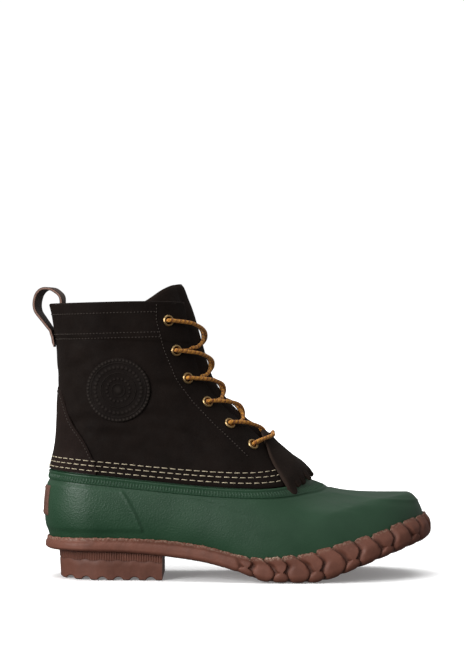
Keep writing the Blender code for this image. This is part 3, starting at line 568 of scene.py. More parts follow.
def leather(name, colour, light, roughness=0.8, sheen=0.03, edge=None):
    """Oiled nubuck: cloudy patches, a fine nap and soft dents."""
    made, tree, shader = look(
        name, colour, roughness, Specular_IOR_Level=0.11, Sheen_Weight=sheen, Sheen_Roughness=0.45
    )
    shader.inputs["Sheen Tint"].default_value = (0.75, 0.58, 0.45, 1)
    cloud = between(tree, noise(tree, 42, 4, 0.6), 0.35, 0.68)
    nap = noise(tree, 1500, 2, 0.6)
    base = blend_colours(tree, cloud, colour, light)
    base = blend_colours(tree, between(tree, nap, 0.35, 0.75, 0.0, 0.55), base, shade(light, 1.5))
    # On the flap the edge colour is its paler cut edge; on the patch it is a painted highlight on the beads'
    # tops.
    if edge:
        base = blend_colours(tree, mark(tree, "edge"), base, edge)
    rough = between(tree, noise(tree, 90, 3), 0.3, 0.7, roughness - 0.1, roughness + 0.08)
    dents = bump(tree, noise(tree, 150, 3, 0.55), 0.0006, 0.7)
    wire(tree, shader, base=base, rough=rough, normal=bump(tree, nap, 0.00022, 0.8, dents))
    return made


def rubber(name, colour, light, roughness, grain, grain_from, grain_to):
    """Moulded rubber with a pebble grain that fades out along x."""
    made, tree, shader = look(name, colour, roughness, Specular_IOR_Level=0.42)
    at = place(tree)
    cloud = between(tree, noise(tree, 30, 3, 0.55, at), 0.3, 0.7)
    base = blend_colours(tree, cloud, colour, light)
    along = add(tree, "ShaderNodeSeparateXYZ", {0: at}).outputs["X"]
    pebble = add(
        tree, "ShaderNodeTexVoronoi", {"Vector": at, "Scale": 780.0, "Smoothness": 0.6}, feature="SMOOTH_F1"
    ).outputs["Distance"]
    fade = between(tree, along, grain_from, grain_to, 1.0, 0.22)
    height = calc(tree, "MULTIPLY", pebble, fade)
    fine = noise(tree, 2600, 2, 0.5, at)
    rough = between(tree, noise(tree, 60, 3, 0.5, at), 0.3, 0.7, roughness - 0.05, roughness + 0.06)
    under = bump(tree, fine, 0.00004, 0.6)
    wire(tree, shader, base=base, rough=rough, normal=bump(tree, height, grain, 1.0, under))
    return made


def gum_rubber():
    """Gum rubber: painted shade darkens it where the crease mark is set, and it is pale where the mould's
    flash shows.
    """
    dark, light, pale = (0.120, 0.043, 0.027), (0.180, 0.066, 0.042), (0.42, 0.31, 0.23)
    made, tree, shader = look("gum_rubber_look", light, 0.58, Specular_IOR_Level=0.35)
    cloud = between(tree, noise(tree, 75, 4, 0.6), 0.3, 0.72)
    base = blend_colours(tree, cloud, light, dark)
    # Painted shade: the crease mark darkens the gum in the creases between the tread's pads and on the
    # heel's block; on the label it darkens the whole tab by half.
    base = blend_colours(tree, mark(tree, "crease"), base, shade(dark, 0.45))
    speckle = between(tree, noise(tree, 620, 3, 0.7), 0.46, 0.60)
    flash = calc(tree, "MULTIPLY", speckle, mark(tree, "flash"))
    base = blend_colours(tree, flash, base, pale)
    rough = between(tree, noise(tree, 200, 3), 0.3, 0.7, 0.5, 0.68)
    wire(tree, shader, base=base, rough=rough, normal=bump(tree, noise(tree, 420, 4, 0.6), 0.00025, 0.8))
    return made


def strap_leather():
    """A strap: a dark grained face and a raw, paler cut edge."""
    face, cut = (0.050, 0.028, 0.021), (0.33, 0.19, 0.145)
    made, tree, shader = look("strap_leather_look", face, 0.55, Specular_IOR_Level=0.3)
    grain = noise(tree, 700, 3, 0.6)
    base = blend_colours(tree, between(tree, noise(tree, 90, 4, 0.6), 0.3, 0.7), face, shade(face, 1.8))
    base = blend_colours(tree, mark(tree, "edge"), base, cut)
    rough = between(tree, grain, 0.3, 0.7, 0.48, 0.66)
    wire(tree, shader, base=base, rough=rough, normal=bump(tree, grain, 0.00025, 0.8))
    return made


def brass():
    made, tree, shader = look("eyelet_brass_look", (0.50, 0.34, 0.15), 0.34, Metallic=1.0)
    tarnish = between(tree, noise(tree, 900, 3, 0.6), 0.42, 0.68)
    base = blend_colours(tree, tarnish, (0.52, 0.36, 0.17), (0.24, 0.15, 0.07))
    rough = between(tree, tarnish, 0.0, 1.0, 0.28, 0.5)
    wire(tree, shader, base=base, rough=rough, normal=bump(tree, noise(tree, 1800, 2), 0.00004, 0.6))
    return made


def lace_cord():
    """A round braided lace: gold strands with a reddish-brown fleck."""
    gold, fleck = (0.68, 0.30, 0.035), (0.20, 0.045, 0.015)
    made, tree, shader = look("lace_look", gold, 0.7, Specular_IOR_Level=0.3, Sheen_Weight=0.12)
    split = add(tree, "ShaderNodeSeparateXYZ", {0: add(tree, "ShaderNodeUVMap").outputs["UV"]})
    along, turn = split.outputs["X"], calc(tree, "MULTIPLY", split.outputs["Y"], 3.0)
    one, two = calc(tree, "ADD", along, turn), calc(tree, "SUBTRACT", along, turn)
    strands = calc(tree, "FRACT", calc(tree, "MULTIPLY", calc(tree, "FLOOR", one), 1 / 3))
    worn = between(tree, noise(tree, 260, 2), 0.35, 0.65, 0.45, 0.95)
    waves = []
    for strand_at in (one, two):
        half_turn = calc(tree, "MULTIPLY", calc(tree, "FRACT", strand_at), math.pi)
        waves.append(calc(tree, "SINE", half_turn))
    strand = calc(tree, "POWER", calc(tree, "MULTIPLY", *waves), 0.5)
    flecked = calc(tree, "MULTIPLY", between(tree, strands, 0.30, 0.36, 1.0, 0.0), worn)
    base = blend_colours(tree, flecked, gold, fleck)
    # Painted shade: the gaps between the strands are darkened.
    base = blend_colours(tree, between(tree, strand, 0.0, 0.55, 0.65, 0.0), base, shade(fleck, 0.5))
    wire(tree, shader, base=base, normal=bump(tree, strand, 0.00035, 0.9))
    return made


def thread(name, colour):
    """Waxed twisted thread."""
    made, tree, shader = look(name, colour, 0.6, Specular_IOR_Level=0.3)
    twist = noise(tree, 2200, 2, 0.5)
    base = blend_colours(tree, between(tree, twist, 0.35, 0.65), shade(colour, 0.72), colour)
    wire(tree, shader, base=base, normal=bump(tree, twist, 0.0001, 0.8))
    return made


def lining():
    """The footbed's cloth: a plain weave."""
    made, tree, shader = look("insole_look", (0.15, 0.105, 0.07), 0.92, Specular_IOR_Level=0.2)
    at = place(tree)
    waves = [
        add(
            tree,
            "ShaderNodeTexWave",
            {"Vector": at, "Scale": 330.0, "Distortion": 1.2, "Detail": 1.0},
            bands_direction=direction,
        ).outputs["Fac"]
        for direction in ("X", "Y")
    ]
    weave = calc(tree, "MULTIPLY", *waves)
    base = blend_colours(tree, weave, (0.075, 0.05, 0.034), (0.19, 0.135, 0.09))
    wire(tree, shader, base=base, normal=bump(tree, weave, 0.0003, 0.8))
    return made


def floor_look():
    """A pale floor that glows more the further it lies from the boot, so that it stays white."""
    made, tree, shader = look("floor_look", (0.9, 0.9, 0.9), 0.9, Specular_IOR_Level=0.0)
    shader.inputs["Emission Color"].default_value = (1, 1, 1, 1)
    far = add(tree, "ShaderNodeVectorMath", {0: place(tree)}, operation="LENGTH").outputs["Value"]
    tree.links.new(between(tree, far, 0.30, 1.60, 0.16, 1.0), shader.inputs["Emission Strength"])
    cloud = between(tree, noise(tree, 3, 2), 0.3, 0.7)
    base = blend_colours(tree, cloud, (0.90, 0.90, 0.90), (0.91, 0.91, 0.91))
    wire(tree, shader, base=base)
    return made


def backdrop_look():
    made, _, shader = look(
        "backdrop_look", (0, 0, 0), 1.0, Specular_IOR_Level=0.0, Emission_Strength=BACKDROP_GLOW
    )
    shader.inputs["Emission Color"].default_value = (1, 1, 1, 1)
    return made


# Meshes


def make(name, vertices, faces, finish, slot, stands_for=(), uvs=None, marks=None, sharp=50):
    """A piece from points and faces, which rides on the boot and stands for CAD nodes."""
    mesh = bpy.data.meshes.new(name)
    moved = np.asarray(vertices, float).reshape(-1, 3) - (HEEL_CENTRE, 0, 0)
    mesh.from_pydata(moved.tolist(), [], [tuple(int(i) for i in face) for face in faces])
    if uvs is not None:
        mesh.uv_layers.new(name="UVMap").data.foreach_set("uv", np.asarray(uvs, float).ravel())
    for key, values in (marks or {}).items():
        layer = mesh.attributes.new(key, "FLOAT", "POINT")
        layer.data.foreach_set("value", np.asarray(values, float).ravel())
    work = bmesh.new()
    work.from_mesh(mesh)
    bmesh.ops.remove_doubles(work, verts=work.verts, dist=2e-6)
    bmesh.ops.dissolve_degenerate(work, edges=work.edges, dist=1e-6)
    bmesh.ops.recalc_face_normals(work, faces=work.faces)
    work.to_mesh(mesh)
    work.free()
    mesh.shade_smooth()
    mesh.set_sharp_from_angle(angle=math.radians(sharp))
    mesh.materials.append(finish)
    piece = bpy.data.objects.new(name, mesh)
    bpy.context.collection.objects.link(piece)
    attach(piece, "root")
    if stands_for:
        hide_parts(*stands_for)
    return piece


def cells(rows, columns, closed=False, start=0):
    """The faces of a grid of points, as a list."""
    r, c = np.meshgrid(np.arange(rows - 1), np.arange(columns - (0 if closed else 1)), indexing="ij")
    r, c = r.ravel(), c.ravel()
    a = start + r * columns + c
    b = start + r * columns + (c + 1) % columns
    return np.stack([a, b, b + columns, a + columns], axis=1).tolist()


def both_sides(surface, stations):
    """A closed ring: out along the lateral side to the toe and back along the medial."""
    return np.concatenate([surface(stations, LATERAL), surface(stations, MEDIAL)[-2:0:-1]])


def across_end(count, start):
    """Faces that close a ring straight across."""
    faces = []
    for i in range(count // 2):
        a, b = start + i, start + i + 1
        c, d = start + (count - i - 1) % count, start + (count - i) % count
        faces.append(tuple(dict.fromkeys((a, b, c, d))))
    return faces


def stacked_rings(rings, close_first=True, close_last=True):
    """Points and faces of the skin through closed rings, closed straight across at its ends."""
    count = len(rings[0])
    faces = cells(len(rings), count, closed=True)
    if close_first:
        faces += across_end(count, 0)
    if close_last:
        faces += across_end(count, (len(rings) - 1) * count)
    return np.concatenate(rings), faces


def sheet(outer, inner, missing=lambda row, column: False):
    """The skin of the solid between two grids of points, without its missing cells."""
    rows, columns = outer.shape[:2]
    vertices = np.concatenate([outer.reshape(-1, 3), inner.reshape(-1, 3)])
    lower = rows * columns
    faces = []

    def there(r, c):
        return 0 <= r < rows - 1 and 0 <= c < columns - 1 and not missing(r, c)

    for r in range(rows - 1):
        for c in range(columns - 1):
            if not there(r, c):
                continue
            a, b = r * columns + c, r * columns + c + 1
            d, e = a + columns, b + columns
            faces += [(a, b, e, d), (a + lower, d + lower, e + lower, b + lower)]
            edges = ((a, b, r - 1, c), (e, d, r + 1, c), (d, a, r, c - 1), (b, e, r, c + 1))
            for near, far, row, column in edges:
                if not there(row, column):
                    faces.append((far, near, near + lower, far + lower))
    return vertices, faces


def edge_drop(distance, radius, depth):
    """How far a sheet's face falls away near its edge, to round it."""
    q = np.clip(1 - np.asarray(distance) / radius, 0, 1)
    return depth * (1 - np.sqrt(1 - q * q))


def run_along(path):
    """The run from a path's start to each of its points."""
    return np.concatenate([[0], np.cumsum(np.linalg.norm(np.diff(path, axis=0), axis=1))])


def tube(path, radius, sides, repeat=1.0):
    """Points, faces and face-corner UVs of a round cord along a path. A radius for each
    point is allowed, and U runs along the cord in turns of repeat metres."""
    path = np.asarray(path)
    radius = np.broadcast_to(radius, len(path))
    tangent = np.gradient(path, axis=0)
    tangent /= np.linalg.norm(tangent, axis=1, keepdims=True)
    run = run_along(path) / repeat
    normal = np.cross(tangent[0], (0.3, 0.2, 1.0))
    vertices, faces, uvs = [], [], []
    for i, point in enumerate(path):
        normal = normal - tangent[i] * np.dot(normal, tangent[i])
        normal /= np.linalg.norm(normal)
        other = np.cross(tangent[i], normal)
        for k in range(sides):
            turn = 2 * math.pi * k / sides
            vertices.append(point + radius[i] * (math.cos(turn) * normal + math.sin(turn) * other))
            if i:
                a, b = (i - 1) * sides + k, (i - 1) * sides + (k + 1) % sides
                faces.append((a, b, b + sides, a + sides))
                low, high = k / sides, (k + 1) / sides
                uvs += [(run[i - 1], low), (run[i - 1], high), (run[i], high), (run[i], low)]
    last = (len(path) - 1) * sides
    faces.append(tuple(range(sides)))
    faces.append(tuple(last + k for k in reversed(range(sides))))
    uvs += [(0, 0)] * (2 * sides)
    return np.array(vertices), faces, uvs


def rounded_path(corners, steps):
    """A smooth curve through points, a cubic between each two, at even steps of length."""
    p = np.asarray(corners, float)
    p = np.concatenate([[2 * p[0] - p[1]], p, [2 * p[-1] - p[-2]]])
    made = []
    for i in range(1, len(p) - 2):
        for u in np.linspace(0, 1, 24, endpoint=False):
            made.append(
                0.5
                * (
                    2 * p[i]
                    + (p[i + 1] - p[i - 1]) * u
                    + (2 * p[i - 1] - 5 * p[i] + 4 * p[i + 1] - p[i + 2]) * u * u
                    + (3 * p[i] - p[i - 1] - 3 * p[i + 1] + p[i + 2]) * u**3
                )
            )
    made = np.array([*made, p[-2]])
    return along_path(made, steps)[0]


def along_path(path, steps):
    """Points at even steps of length along a path, with the run at each."""
    run = run_along(path)
    count = max(int(run[-1] / steps), 2)
    at = np.linspace(0, run[-1], count + 1)
    return np.stack([np.interp(at, run, path[:, k]) for k in range(3)], axis=1), at


def turned(profile, sides, centre, axis):
    """Points and faces of a closed profile of (radius, height) turned round an axis."""
    turn_to = Vector((0, 0, 1)).rotation_difference(Vector(axis)).to_matrix()
    vertices = []
    for k in range(sides):
        angle = 2 * math.pi * k / sides
        for radius, height in profile:
            local = Vector((radius * math.cos(angle), radius * math.sin(angle), height))
            vertices.append(Vector(centre) + turn_to @ local)
    count = len(profile)
    faces = []
    for k in range(sides):
        for i in range(count):
            a, b = k * count + i, k * count + (i + 1) % count
            c, d = (b + count) % (sides * count), (a + count) % (sides * count)
            faces.append((a, b, c, d))
    return np.array([tuple(v) for v in vertices]), faces


class Heap:
    """Several closed bodies gathered in one mesh."""

    def __init__(self):
        self.vertices, self.faces = [], []
        self.count = 0

    def put(self, vertices, faces):
        self.vertices.append(np.asarray(vertices, float))
        self.faces += [tuple(i + self.count for i in face) for face in faces]
        self.count += len(vertices)

    def all(self):
        return np.concatenate(self.vertices), self.faces


def stitches(heap, path, normal, length, pitch, radius):
    """Sews a row along a path on a surface: each stitch lies proud and dives in at its ends."""
    run = run_along(path)
    count = max(int((run[-1] - length) / pitch), 0) + 1
    start = (run[-1] - (count - 1) * pitch - length) / 2
    shares = np.array([0.0, 0.12, 0.5, 0.88, 1.0])
    lift = np.array([-1.1, 0.35, 0.55, 0.35, -1.1]) * radius
    size = np.array([0.7, 1.0, 1.0, 1.0, 0.7]) * radius
    for k in range(count):
        at = start + k * pitch + shares * length
        line = np.stack([np.interp(at, run, path[:, i]) for i in range(3)], axis=1)
        out = np.stack([np.interp(at, run, normal[:, i]) for i in range(3)], axis=1)
        vertices, faces, _ = tube(line + out * lift[:, None], size, 6)
        heap.put(vertices, faces)


# Outsole


def sole_run():
    """Run along the sole's outline at each sample of t, the mean of both sides."""
    total = np.zeros(len(SAMPLES))
    for side in (LATERAL, MEDIAL):
        x, y = sole_plan(SAMPLES, side)
        total[1:] += np.cumsum(np.hypot(np.diff(x), np.diff(y))) / 2
    return total


def lobe_phase(t):
    """Lobes counted along the edge from where they start, a whole number at each valley."""
    run = sole_run()
    start = np.interp(LOBE_START * LENGTH, sole_plan(SAMPLES, LATERAL)[0], run)
    pitch = (run[-1] - start) / LOBE_COUNT
    return (np.interp(t, SAMPLES, run) - start) / pitch


def pads(phase, v):
    """The tread's pads on the sole's edge: 1 on a pad and 0 in a crease. Tall pads shaped
    like leaves take turns with pads that narrow to a point over a small one."""
    phase, v = np.broadcast_arrays(np.asarray(phase, float), np.asarray(v, float))
    height = np.zeros(phase.shape)
    for shift in (-1, 0, 1):
        count = np.floor(phase) + shift
        off = np.abs(phase - count - 0.5)
        tall = np.mod(count, 2) == 0
        rounding = np.sqrt(1 - (np.clip(0.16 - v, 0, 0.16) / 0.22) ** 2)
        wide = (0.41 + 0.21 * bell(v - 0.36, 0.26)) * rounding
        leaf = np.sqrt(np.clip(1 - (off / wide) ** 5, 0, 1))
        point = 0.57 * np.clip((v - 0.38) / 0.57, 1e-4, 1) ** 0.5
        wedge = np.clip(3.2 * (1 - off / point), 0, 1) * 0.95
        foot = 0.46 * np.sqrt(np.clip(1 - ((v - 0.10) / 0.33) ** 2, 1e-8, 1))
        low = np.sqrt(np.clip(1 - (off / foot) ** 3, 0, 1)) * 0.95
        height = np.maximum(height, np.where(tall, leaf, np.maximum(wedge, low)))
    return height


def tread(phase, y, x):
    """Depth of the grooves between the lugs, in waves across the underside."""
    wave = phase + 0.20 * np.sin(2 * math.pi * y / 0.026)
    groove = ease((0.5 - 0.5 * np.cos(2 * math.pi * wave) - 0.52) / 0.25)
    arch = ease((x - 0.13) / 0.03)
    return LUG_DEPTH * groove * arch


def make_outsole(gum):
    stations = np.concatenate([
        np.linspace(0, np.interp(0.0, lobe_phase(SAMPLES), SAMPLES), 330)[:-1],
        np.interp(np.linspace(0, LOBE_COUNT, 24 * LOBE_COUNT + 1), lobe_phase(SAMPLES), SAMPLES),
    ])
    phase = lobe_phase(stations)
    fade = ease((phase + 1.15) * 1.8) * (1 - 0.55 * ease((phase - 9.6) / 1.8))
    lift = 0.0018 * (1 - pads(phase, 0.08)) * fade
    paleness = 0.40 + 0.60 * bell(phase - 1.2, 1.6)
    run = np.interp(stations, SAMPLES, sole_run())
    rings, flash, crease = [], [], []

    # Each ring keeps its pale flash and its painted crease shade.
    def keep(at, pale, dark):
        rings.append(both_sides(at, stations))
        for store, value in ((flash, pale), (crease, dark)):
            value = np.broadcast_to(value, stations.shape)
            store.append(np.concatenate([value, value[-2:0:-1]]))

    def top_of(x, side):
        uneven = 0.00035 * ripple(run, 0.011, 1.0 + side) + 0.0002 * ripple(run, 0.0031, 2.0 + side)
        return foxing_top(x) - LOBE_RISE * (1 - pads(phase, 0.97)) * fade + uneven

    def wall(v):
        def at(t, side):
            pad = pads(phase, v)
            corner = EDGE_INSET * 0.9 * (1 - np.sqrt(1 - np.clip(1 - v / 0.30, 0, 1) ** 2))
            bulge = 0.0006 * ease((v - 0.45) / 0.4)
            x, y = sole_plan(t, side, corner + bulge + LOBE_DEPTH * (1 - pad) * fade)
            foot = sole_bottom(x) + lift * np.clip(1 - v / 0.22, 0, 1)
            z = foot + v * (top_of(x, side) - foot)
            line = points(x, y, z)
            if v <= 0.62:
                return line
            level = shell_level(t, side, z)
            lip = FOXING_LIP + GAP + 0.0012 * (1 - v) / 0.38 - 0.0010 * (1 - pad) * fade
            lipped = raised(shell, t, side, level, lip)
            part = float(ease((v - 0.62) / 0.38))
            return line * (1 - part) + lipped * part
        pad = pads(phase, v)
        # Painted shade: the creases between the pads are darkened through the crease mark.
        keep(at, ease((v - 0.86) / 0.14) * paleness, (1 - ease(pad * 1.6)) * fade * 0.6)

    def lip(rise, over, pale):
        def at(t, side):
            x, _ = sole_plan(t, side, FOXING)
            level = shell_level(t, side, top_of(x, side) + over)
            return raised(shell, t, side, level, rise)
        keep(at, pale * paleness, 0.0)

    def underside(inset, lifted):
        def at(t, side):
            x, y = sole_plan(t, side, inset)
            return points(x, y, sole_bottom(x) + tread(phase, y, x) + lift * lifted)
        return at

    keep(underside(EDGE_INSET + 0.004, 0.5), 0.0, 0.0)
    keep(underside(EDGE_INSET, 1.0), 0.0, 0.0)
    for v in np.concatenate([[0.0, 0.015, 0.045], np.linspace(0.09, 1.0, 26)]):
        wall(v)
    lip(FOXING_LIP * 0.85, 0.0004, 0.9)
    lip(FOXING_LIP * 0.45, 0.0006, 0.8)
    lip(GAP, 0.0002, 0.5)
    lip(GAP, -0.004, 0.0)
    vertices, faces = stacked_rings(rings, close_first=False, close_last=False)
    heap = Heap()
    heap.put(vertices, faces)

    count, first = len(stations), rings[0]
    rim = (first[:count], np.concatenate([first[:1], first[count:][::-1], first[count - 1: count]]))
    shares = np.linspace(0, 1, 41)
    under = rim[0][None] * (1 - shares)[:, None, None] + rim[1][None] * shares[:, None, None]
    inner = under[1:-1]
    groove = tread(phase[None], inner[..., 1], inner[..., 0])
    inner[..., 2] = sole_bottom(inner[..., 0]) + groove
    heap.put(under.reshape(-1, 3), cells(41, len(stations)))

    block, block_faces, block_shade = heel_block()
    heap.put(block, block_faces)
    # The heel's block takes its painted shade through the crease mark and has no flash.
    plain = np.zeros(heap.count - len(vertices))
    plain[-len(block):] = block_shade
    make(
        "outsole_fine", *heap.all(), gum, "gum_rubber", ["outsole"],
        marks={
            "flash": np.concatenate([np.concatenate(flash), 0 * plain]),
            "crease": np.concatenate([np.concatenate(crease), plain]),
        },
        sharp=38,
    )


def heel_block():
    """The heel's block with its scalloped underside and fine ribs under the sole."""
    inset = HEEL_INSET
    count = 420
    heights = np.array([0.0, 0.03, 0.10, 0.25, 0.42, 0.56, 0.60, 0.64, 0.82, 0.92, 1.0])
    t_full = np.linspace(0, 1, 1600)

    def outline(side, extra):
        x, y = sole_plan(t_full, side, inset + extra)
        x = x + HEEL_BACK - HEEL_INSET
        t_end = np.interp(HEEL_BREAST, x, t_full)
        t = np.linspace(0, t_end, count)
        return np.interp(t, t_full, x), np.interp(t, t_full, y)

    base_x, _ = outline(LATERAL, 0.0)
    nearest = (base_x - HEEL_CENTRE) / SCALLOP_PITCH + (SCALLOP_COUNT - 1) / 2
    offset = (nearest - np.clip(np.round(nearest), 0, SCALLOP_COUNT - 1)) * SCALLOP_PITCH
    arch = np.sqrt(np.clip(SCALLOP_RADIUS**2 - offset**2, 0, None)) - (SCALLOP_RADIUS - SCALLOP_DEPTH)
    notch = np.clip(arch, 0, None)
    grid, dark = [], []
    for h in heights:
        taper = HEEL_TAPER * (1 - h) + (0.0008 if h == 0.0 else 0.0) + (0.0005 if h == 0.60 else 0.0)
        sides = []
        for side in (LATERAL, MEDIAL):
            x, y = outline(side, taper)
            top = sole_bottom(x) + PLATE / 2
            z = notch + h * (top - notch)
            rib = np.where((h > 0.61) & (h < 0.99), 0.00028 * (1 - np.cos(2 * math.pi * x / 0.0019)), 0.0)
            sides.append(points(x, y - side * rib, z))
        grid.append(np.concatenate([sides[0], sides[1][::-1]]))
        # Painted shade: the block is darkened all over, as it lies under the foxing, and more on its inset
        # ring and on its top ring.
        dark.append(np.full(2 * count, 0.60 if h in (0.60, 1.0) else 0.22))
    grid = np.array(grid)
    rows, columns = grid.shape[:2]
    faces = cells(rows, columns, closed=True)
    for start in (0, (rows - 1) * columns):
        for i in range(count - 1):
            faces.append((start + i, start + i + 1, start + columns - 2 - i, start + columns - 1 - i))
    return grid.reshape(-1, 3), faces, np.concatenate(dark)


# Rubber shell and footbed


def even_stations(count):
    """Stations of t, evenly spaced along the sole's edge."""
    run = sole_run()
    return np.interp(np.linspace(0, run[-1], count), run, SAMPLES)


def relief(t, side, s):
    """Moulded relief on the rubber: the heel's raised counter, the line round the toe and
    the flexing creases."""
    at = shell(t, side, s)
    x, z = at[..., 0], at[..., 2]
    heel_x = np.interp(z, HEEL_LINE["z"], HEEL_LINE["x"])
    counter = 0.0008 * (1 - ease((x - heel_x + 0.0009) / 0.0018))
    counter = counter + 0.0005 * bell(x - heel_x + 0.0012, 0.0011)
    counter = counter * ease((z - 0.036) / 0.005)
    off = z - smooth(TOE_LINE, "x", "z", x)
    shoulder = ease((x - 0.195) / 0.02)
    toe = 0.0004 * bell(off, 0.0010) - 0.00015 * bell(off + 0.003, 0.0016)
    crease = 0.0
    for x0, z0, slope, depth, reach in RUBBER_CREASES:
        away = z - z0 - slope * (x - x0)
        near = bell(x - x0, reach)
        crease = crease - depth * near * bell(away, 0.0016)
        crease = crease + 0.5 * depth * near * bell(away - 0.0035, 0.0022)
    return counter + toe * shoulder + crease


def rim_share(t, side, height):
    """The s of the rim's ring that lies this far below the seam."""
    s = shell_level(t, side, ring(t, side, 0.0)[..., 2] - height)
    toe = ease((t - 0.80) / 0.12)
    front = 1 - 1.4 * height / (0.3 * LENGTH)
    return s * (1 - toe) + front * toe


def make_shell(green):
    stations = even_stations(320)

    def bottom(inset, rise):
        def at(t, side):
            x, y = sole_plan(t, side, inset)
            return points(x, y, sole_bottom(x) + PLATE + GAP + rise)
        return both_sides(at, stations)

    edge = {side: rim_share(stations, side, RIM_HEIGHT + 0.0016) for side in (LATERAL, MEDIAL)}

    def wall(share, rise, with_relief=True):
        def at(t, side):
            s = edge[side] * share
            extra = relief(t, side, s) * ease((1 - share) / 0.06) if with_relief else 0.0
            return raised(shell, t, side, s, rise + extra)
        return both_sides(at, stations)

    def rim(height, rise):
        def at(t, side):
            return raised(shell, t, side, rim_share(t, side, height), np.full_like(t, rise))
        return both_sides(at, stations)

    def flange(level, rise):
        def at(t, side):
            return raised(ring, t, side, np.full_like(t, level), np.full_like(t, rise))
        return both_sides(at, stations)

    inside = UPPER_WALL + GAP
    rings = [bottom(CORE_INSET, 0), bottom(FOXING + EDGE_INSET, 0)]
    rings += [wall(share, 0.0) for share in np.linspace(0, 1, 66)]
    rings += [
        rim(RIM_HEIGHT + 0.0009, -0.0004),
        rim(RIM_HEIGHT + 0.0003, -0.0003),
        rim(RIM_HEIGHT, 0.0004),
        rim(RIM_HEIGHT - 0.0006, RIM_STEP - 0.0004),
        rim(RIM_HEIGHT * 0.38, RIM_STEP - 0.0004),
        rim(RIM_HEIGHT * 0.30, RIM_STEP),
        rim(RIM_HEIGHT * 0.16, RIM_STEP + 0.0003),
        rim(0.0008, RIM_STEP + 0.0001),
        rim(0.0005, RIM_STEP - 0.0004),
    ]
    rings += [flange(0.0, -inside), flange(FLANGE_LEVEL / 2, -inside), flange(FLANGE_LEVEL, -inside)]
    rings += [flange(FLANGE_LEVEL, -inside - FLANGE_WALL), flange(0.0, -inside - FLANGE_WALL)]
    rings += [wall(share, -SHELL_WALL, False) for share in np.linspace(0.92, 0.08, 14)]
    rings += [bottom(FOXING + SHELL_WALL + FLOOR_FILLET, SHELL_WALL), bottom(CORE_INSET, SHELL_WALL)]
    vertices, faces = stacked_rings(rings)
    make("rubber_shell_fine", vertices, faces, green, "green_rubber", ["rubber_shell"])

    line = ring(SAMPLES, LATERAL, 0.0)
    run = run_along(line)
    ribs = int(round(run[-1] / RIB_PITCH))
    t = np.interp(np.linspace(0, run[-1], ribs * 8 + 1), run, SAMPLES)
    wave = 0.5 - 0.5 * np.cos(2 * math.pi * np.arange(ribs * 8 + 1) / 8)
    rows = []
    top, low = 0.36 * RIM_HEIGHT, RIM_HEIGHT - 0.0005
    for height, rise, share in (
        (low, -0.0008, 0.0),
        (low, 0.0, 0.4),
        (low - 0.0004, RIM_STEP - RIB_DEPTH, 1.0),
        (low - 0.0016, RIM_STEP - RIB_DEPTH, 1.0),
        (top + 0.0012, RIM_STEP - RIB_DEPTH, 1.0),
        (top + 0.0003, RIM_STEP - RIB_DEPTH, 0.8),
        (top, RIM_STEP - RIB_DEPTH, 0.0),
        (top, -0.0008, 0.0),
    ):
        proud = rise + RIB_DEPTH * wave * share
        rows.append(both_sides(lambda t, side: raised(shell, t, side, rim_share(t, side, height), proud), t))
    vertices, faces = stacked_rings(rows, close_first=False, close_last=False)
    make("rim_ribs", vertices, faces, green, "green_rubber", sharp=60)


def make_insole(cloth):
    stations = even_stations(160)
    inset = FOXING + SHELL_WALL + INSOLE_CLEARANCE + FLOOR_FILLET
    floor = PLATE + GAP + SHELL_WALL + 3 * GAP

    def level(ring_inset, rise):
        def at(t, side):
            x, y = sole_plan(t, side, ring_inset)
            return points(x, y, sole_bottom(x) + floor + rise)
        return both_sides(at, stations)

    top = INSOLE_THICKNESS
    section = (
        (CORE_INSET, 0),
        (inset + 0.0006, 0),
        (inset, 0.0006),
        (inset, top - 0.0012),
        (inset + 0.0004, top - 0.0004),
        (inset + 0.0014, top),
        (inset + 0.006, top - 0.0004),
        (CORE_INSET, top - 0.0009),
    )
    vertices, faces = stacked_rings([level(*pair) for pair in section])
    make("insole_fine", vertices, faces, cloth, "insole", ["insole"])


# Leather


def band_level():
    heights = ring(0.0, LATERAL, SAMPLES)[..., 2]
    return share_at(heights, heights[-1] - COLLAR_BAND)


BAND = band_level()


def leather_rise(level):
    """How far the leather stands proud of the shaft's surface: more on the collar band."""
    return COLLAR_STEP * ease((np.asarray(level, float) - BAND) / 0.012)


def folds(t, side, level):
    """Soft wear folds in the leather, placed one by one."""
    at = ring(t, side, level)
    x, z = at[..., 0], at[..., 2]
    total = np.zeros(x.shape)
    for x0, z0, slope, depth, reach, width in LEATHER_FOLDS:
        away = z - z0 - slope * (x - x0) - 0.002 * np.sin((x - x0) / 0.009)
        near = bell(x - x0, reach)
        total = total - depth * near * bell(away, width)
        total = total + 0.6 * depth * near * bell(away - 1.9 * width, 1.3 * width)
    clear = 1 - ease((level - 0.80) / 0.06)
    return total * clear * ease((level - 0.12) / 0.12)


def patch_clear(t, side, level):
    """0 under the patch and 1 away from it, where folds may run."""
    at = ring(t, side, level)
    away = np.hypot(at[..., 0] - PATCH_X, at[..., 2] - PATCH_Z)
    lateral = np.broadcast_to(np.asarray(side) < 0, away.shape)
    return np.where(lateral, ease((away - PATCH_RADIUS * 0.98) / 0.006), 1.0)


def leather_surface(t, side, level, rise=0.0):
    """The outside of the shaft's leather with its folds."""
    level = np.asarray(level, float)
    extra = folds(t, side, level) * patch_clear(t, side, level)
    return raised(ring, t, side, level, leather_rise(level) + extra + rise)


def band_step(level):
    """How far an eyelet is raised by the collar band, if it sits on it."""
    return COLLAR_STEP if level > BAND + 0.002 else 0.0


def eyelet_seat(row, side):
    """Middle of an eyelet on the leather, its normal, its t and its level."""
    ahead, up = EYELETS[row]
    t, level = on_upper(LATERAL, np.array(ahead * LENGTH), np.array(up * COLLAR_HEIGHT))
    out = normals(ring, t, side, level)
    return ring(t, side, level) + out * band_step(level), out, t, level


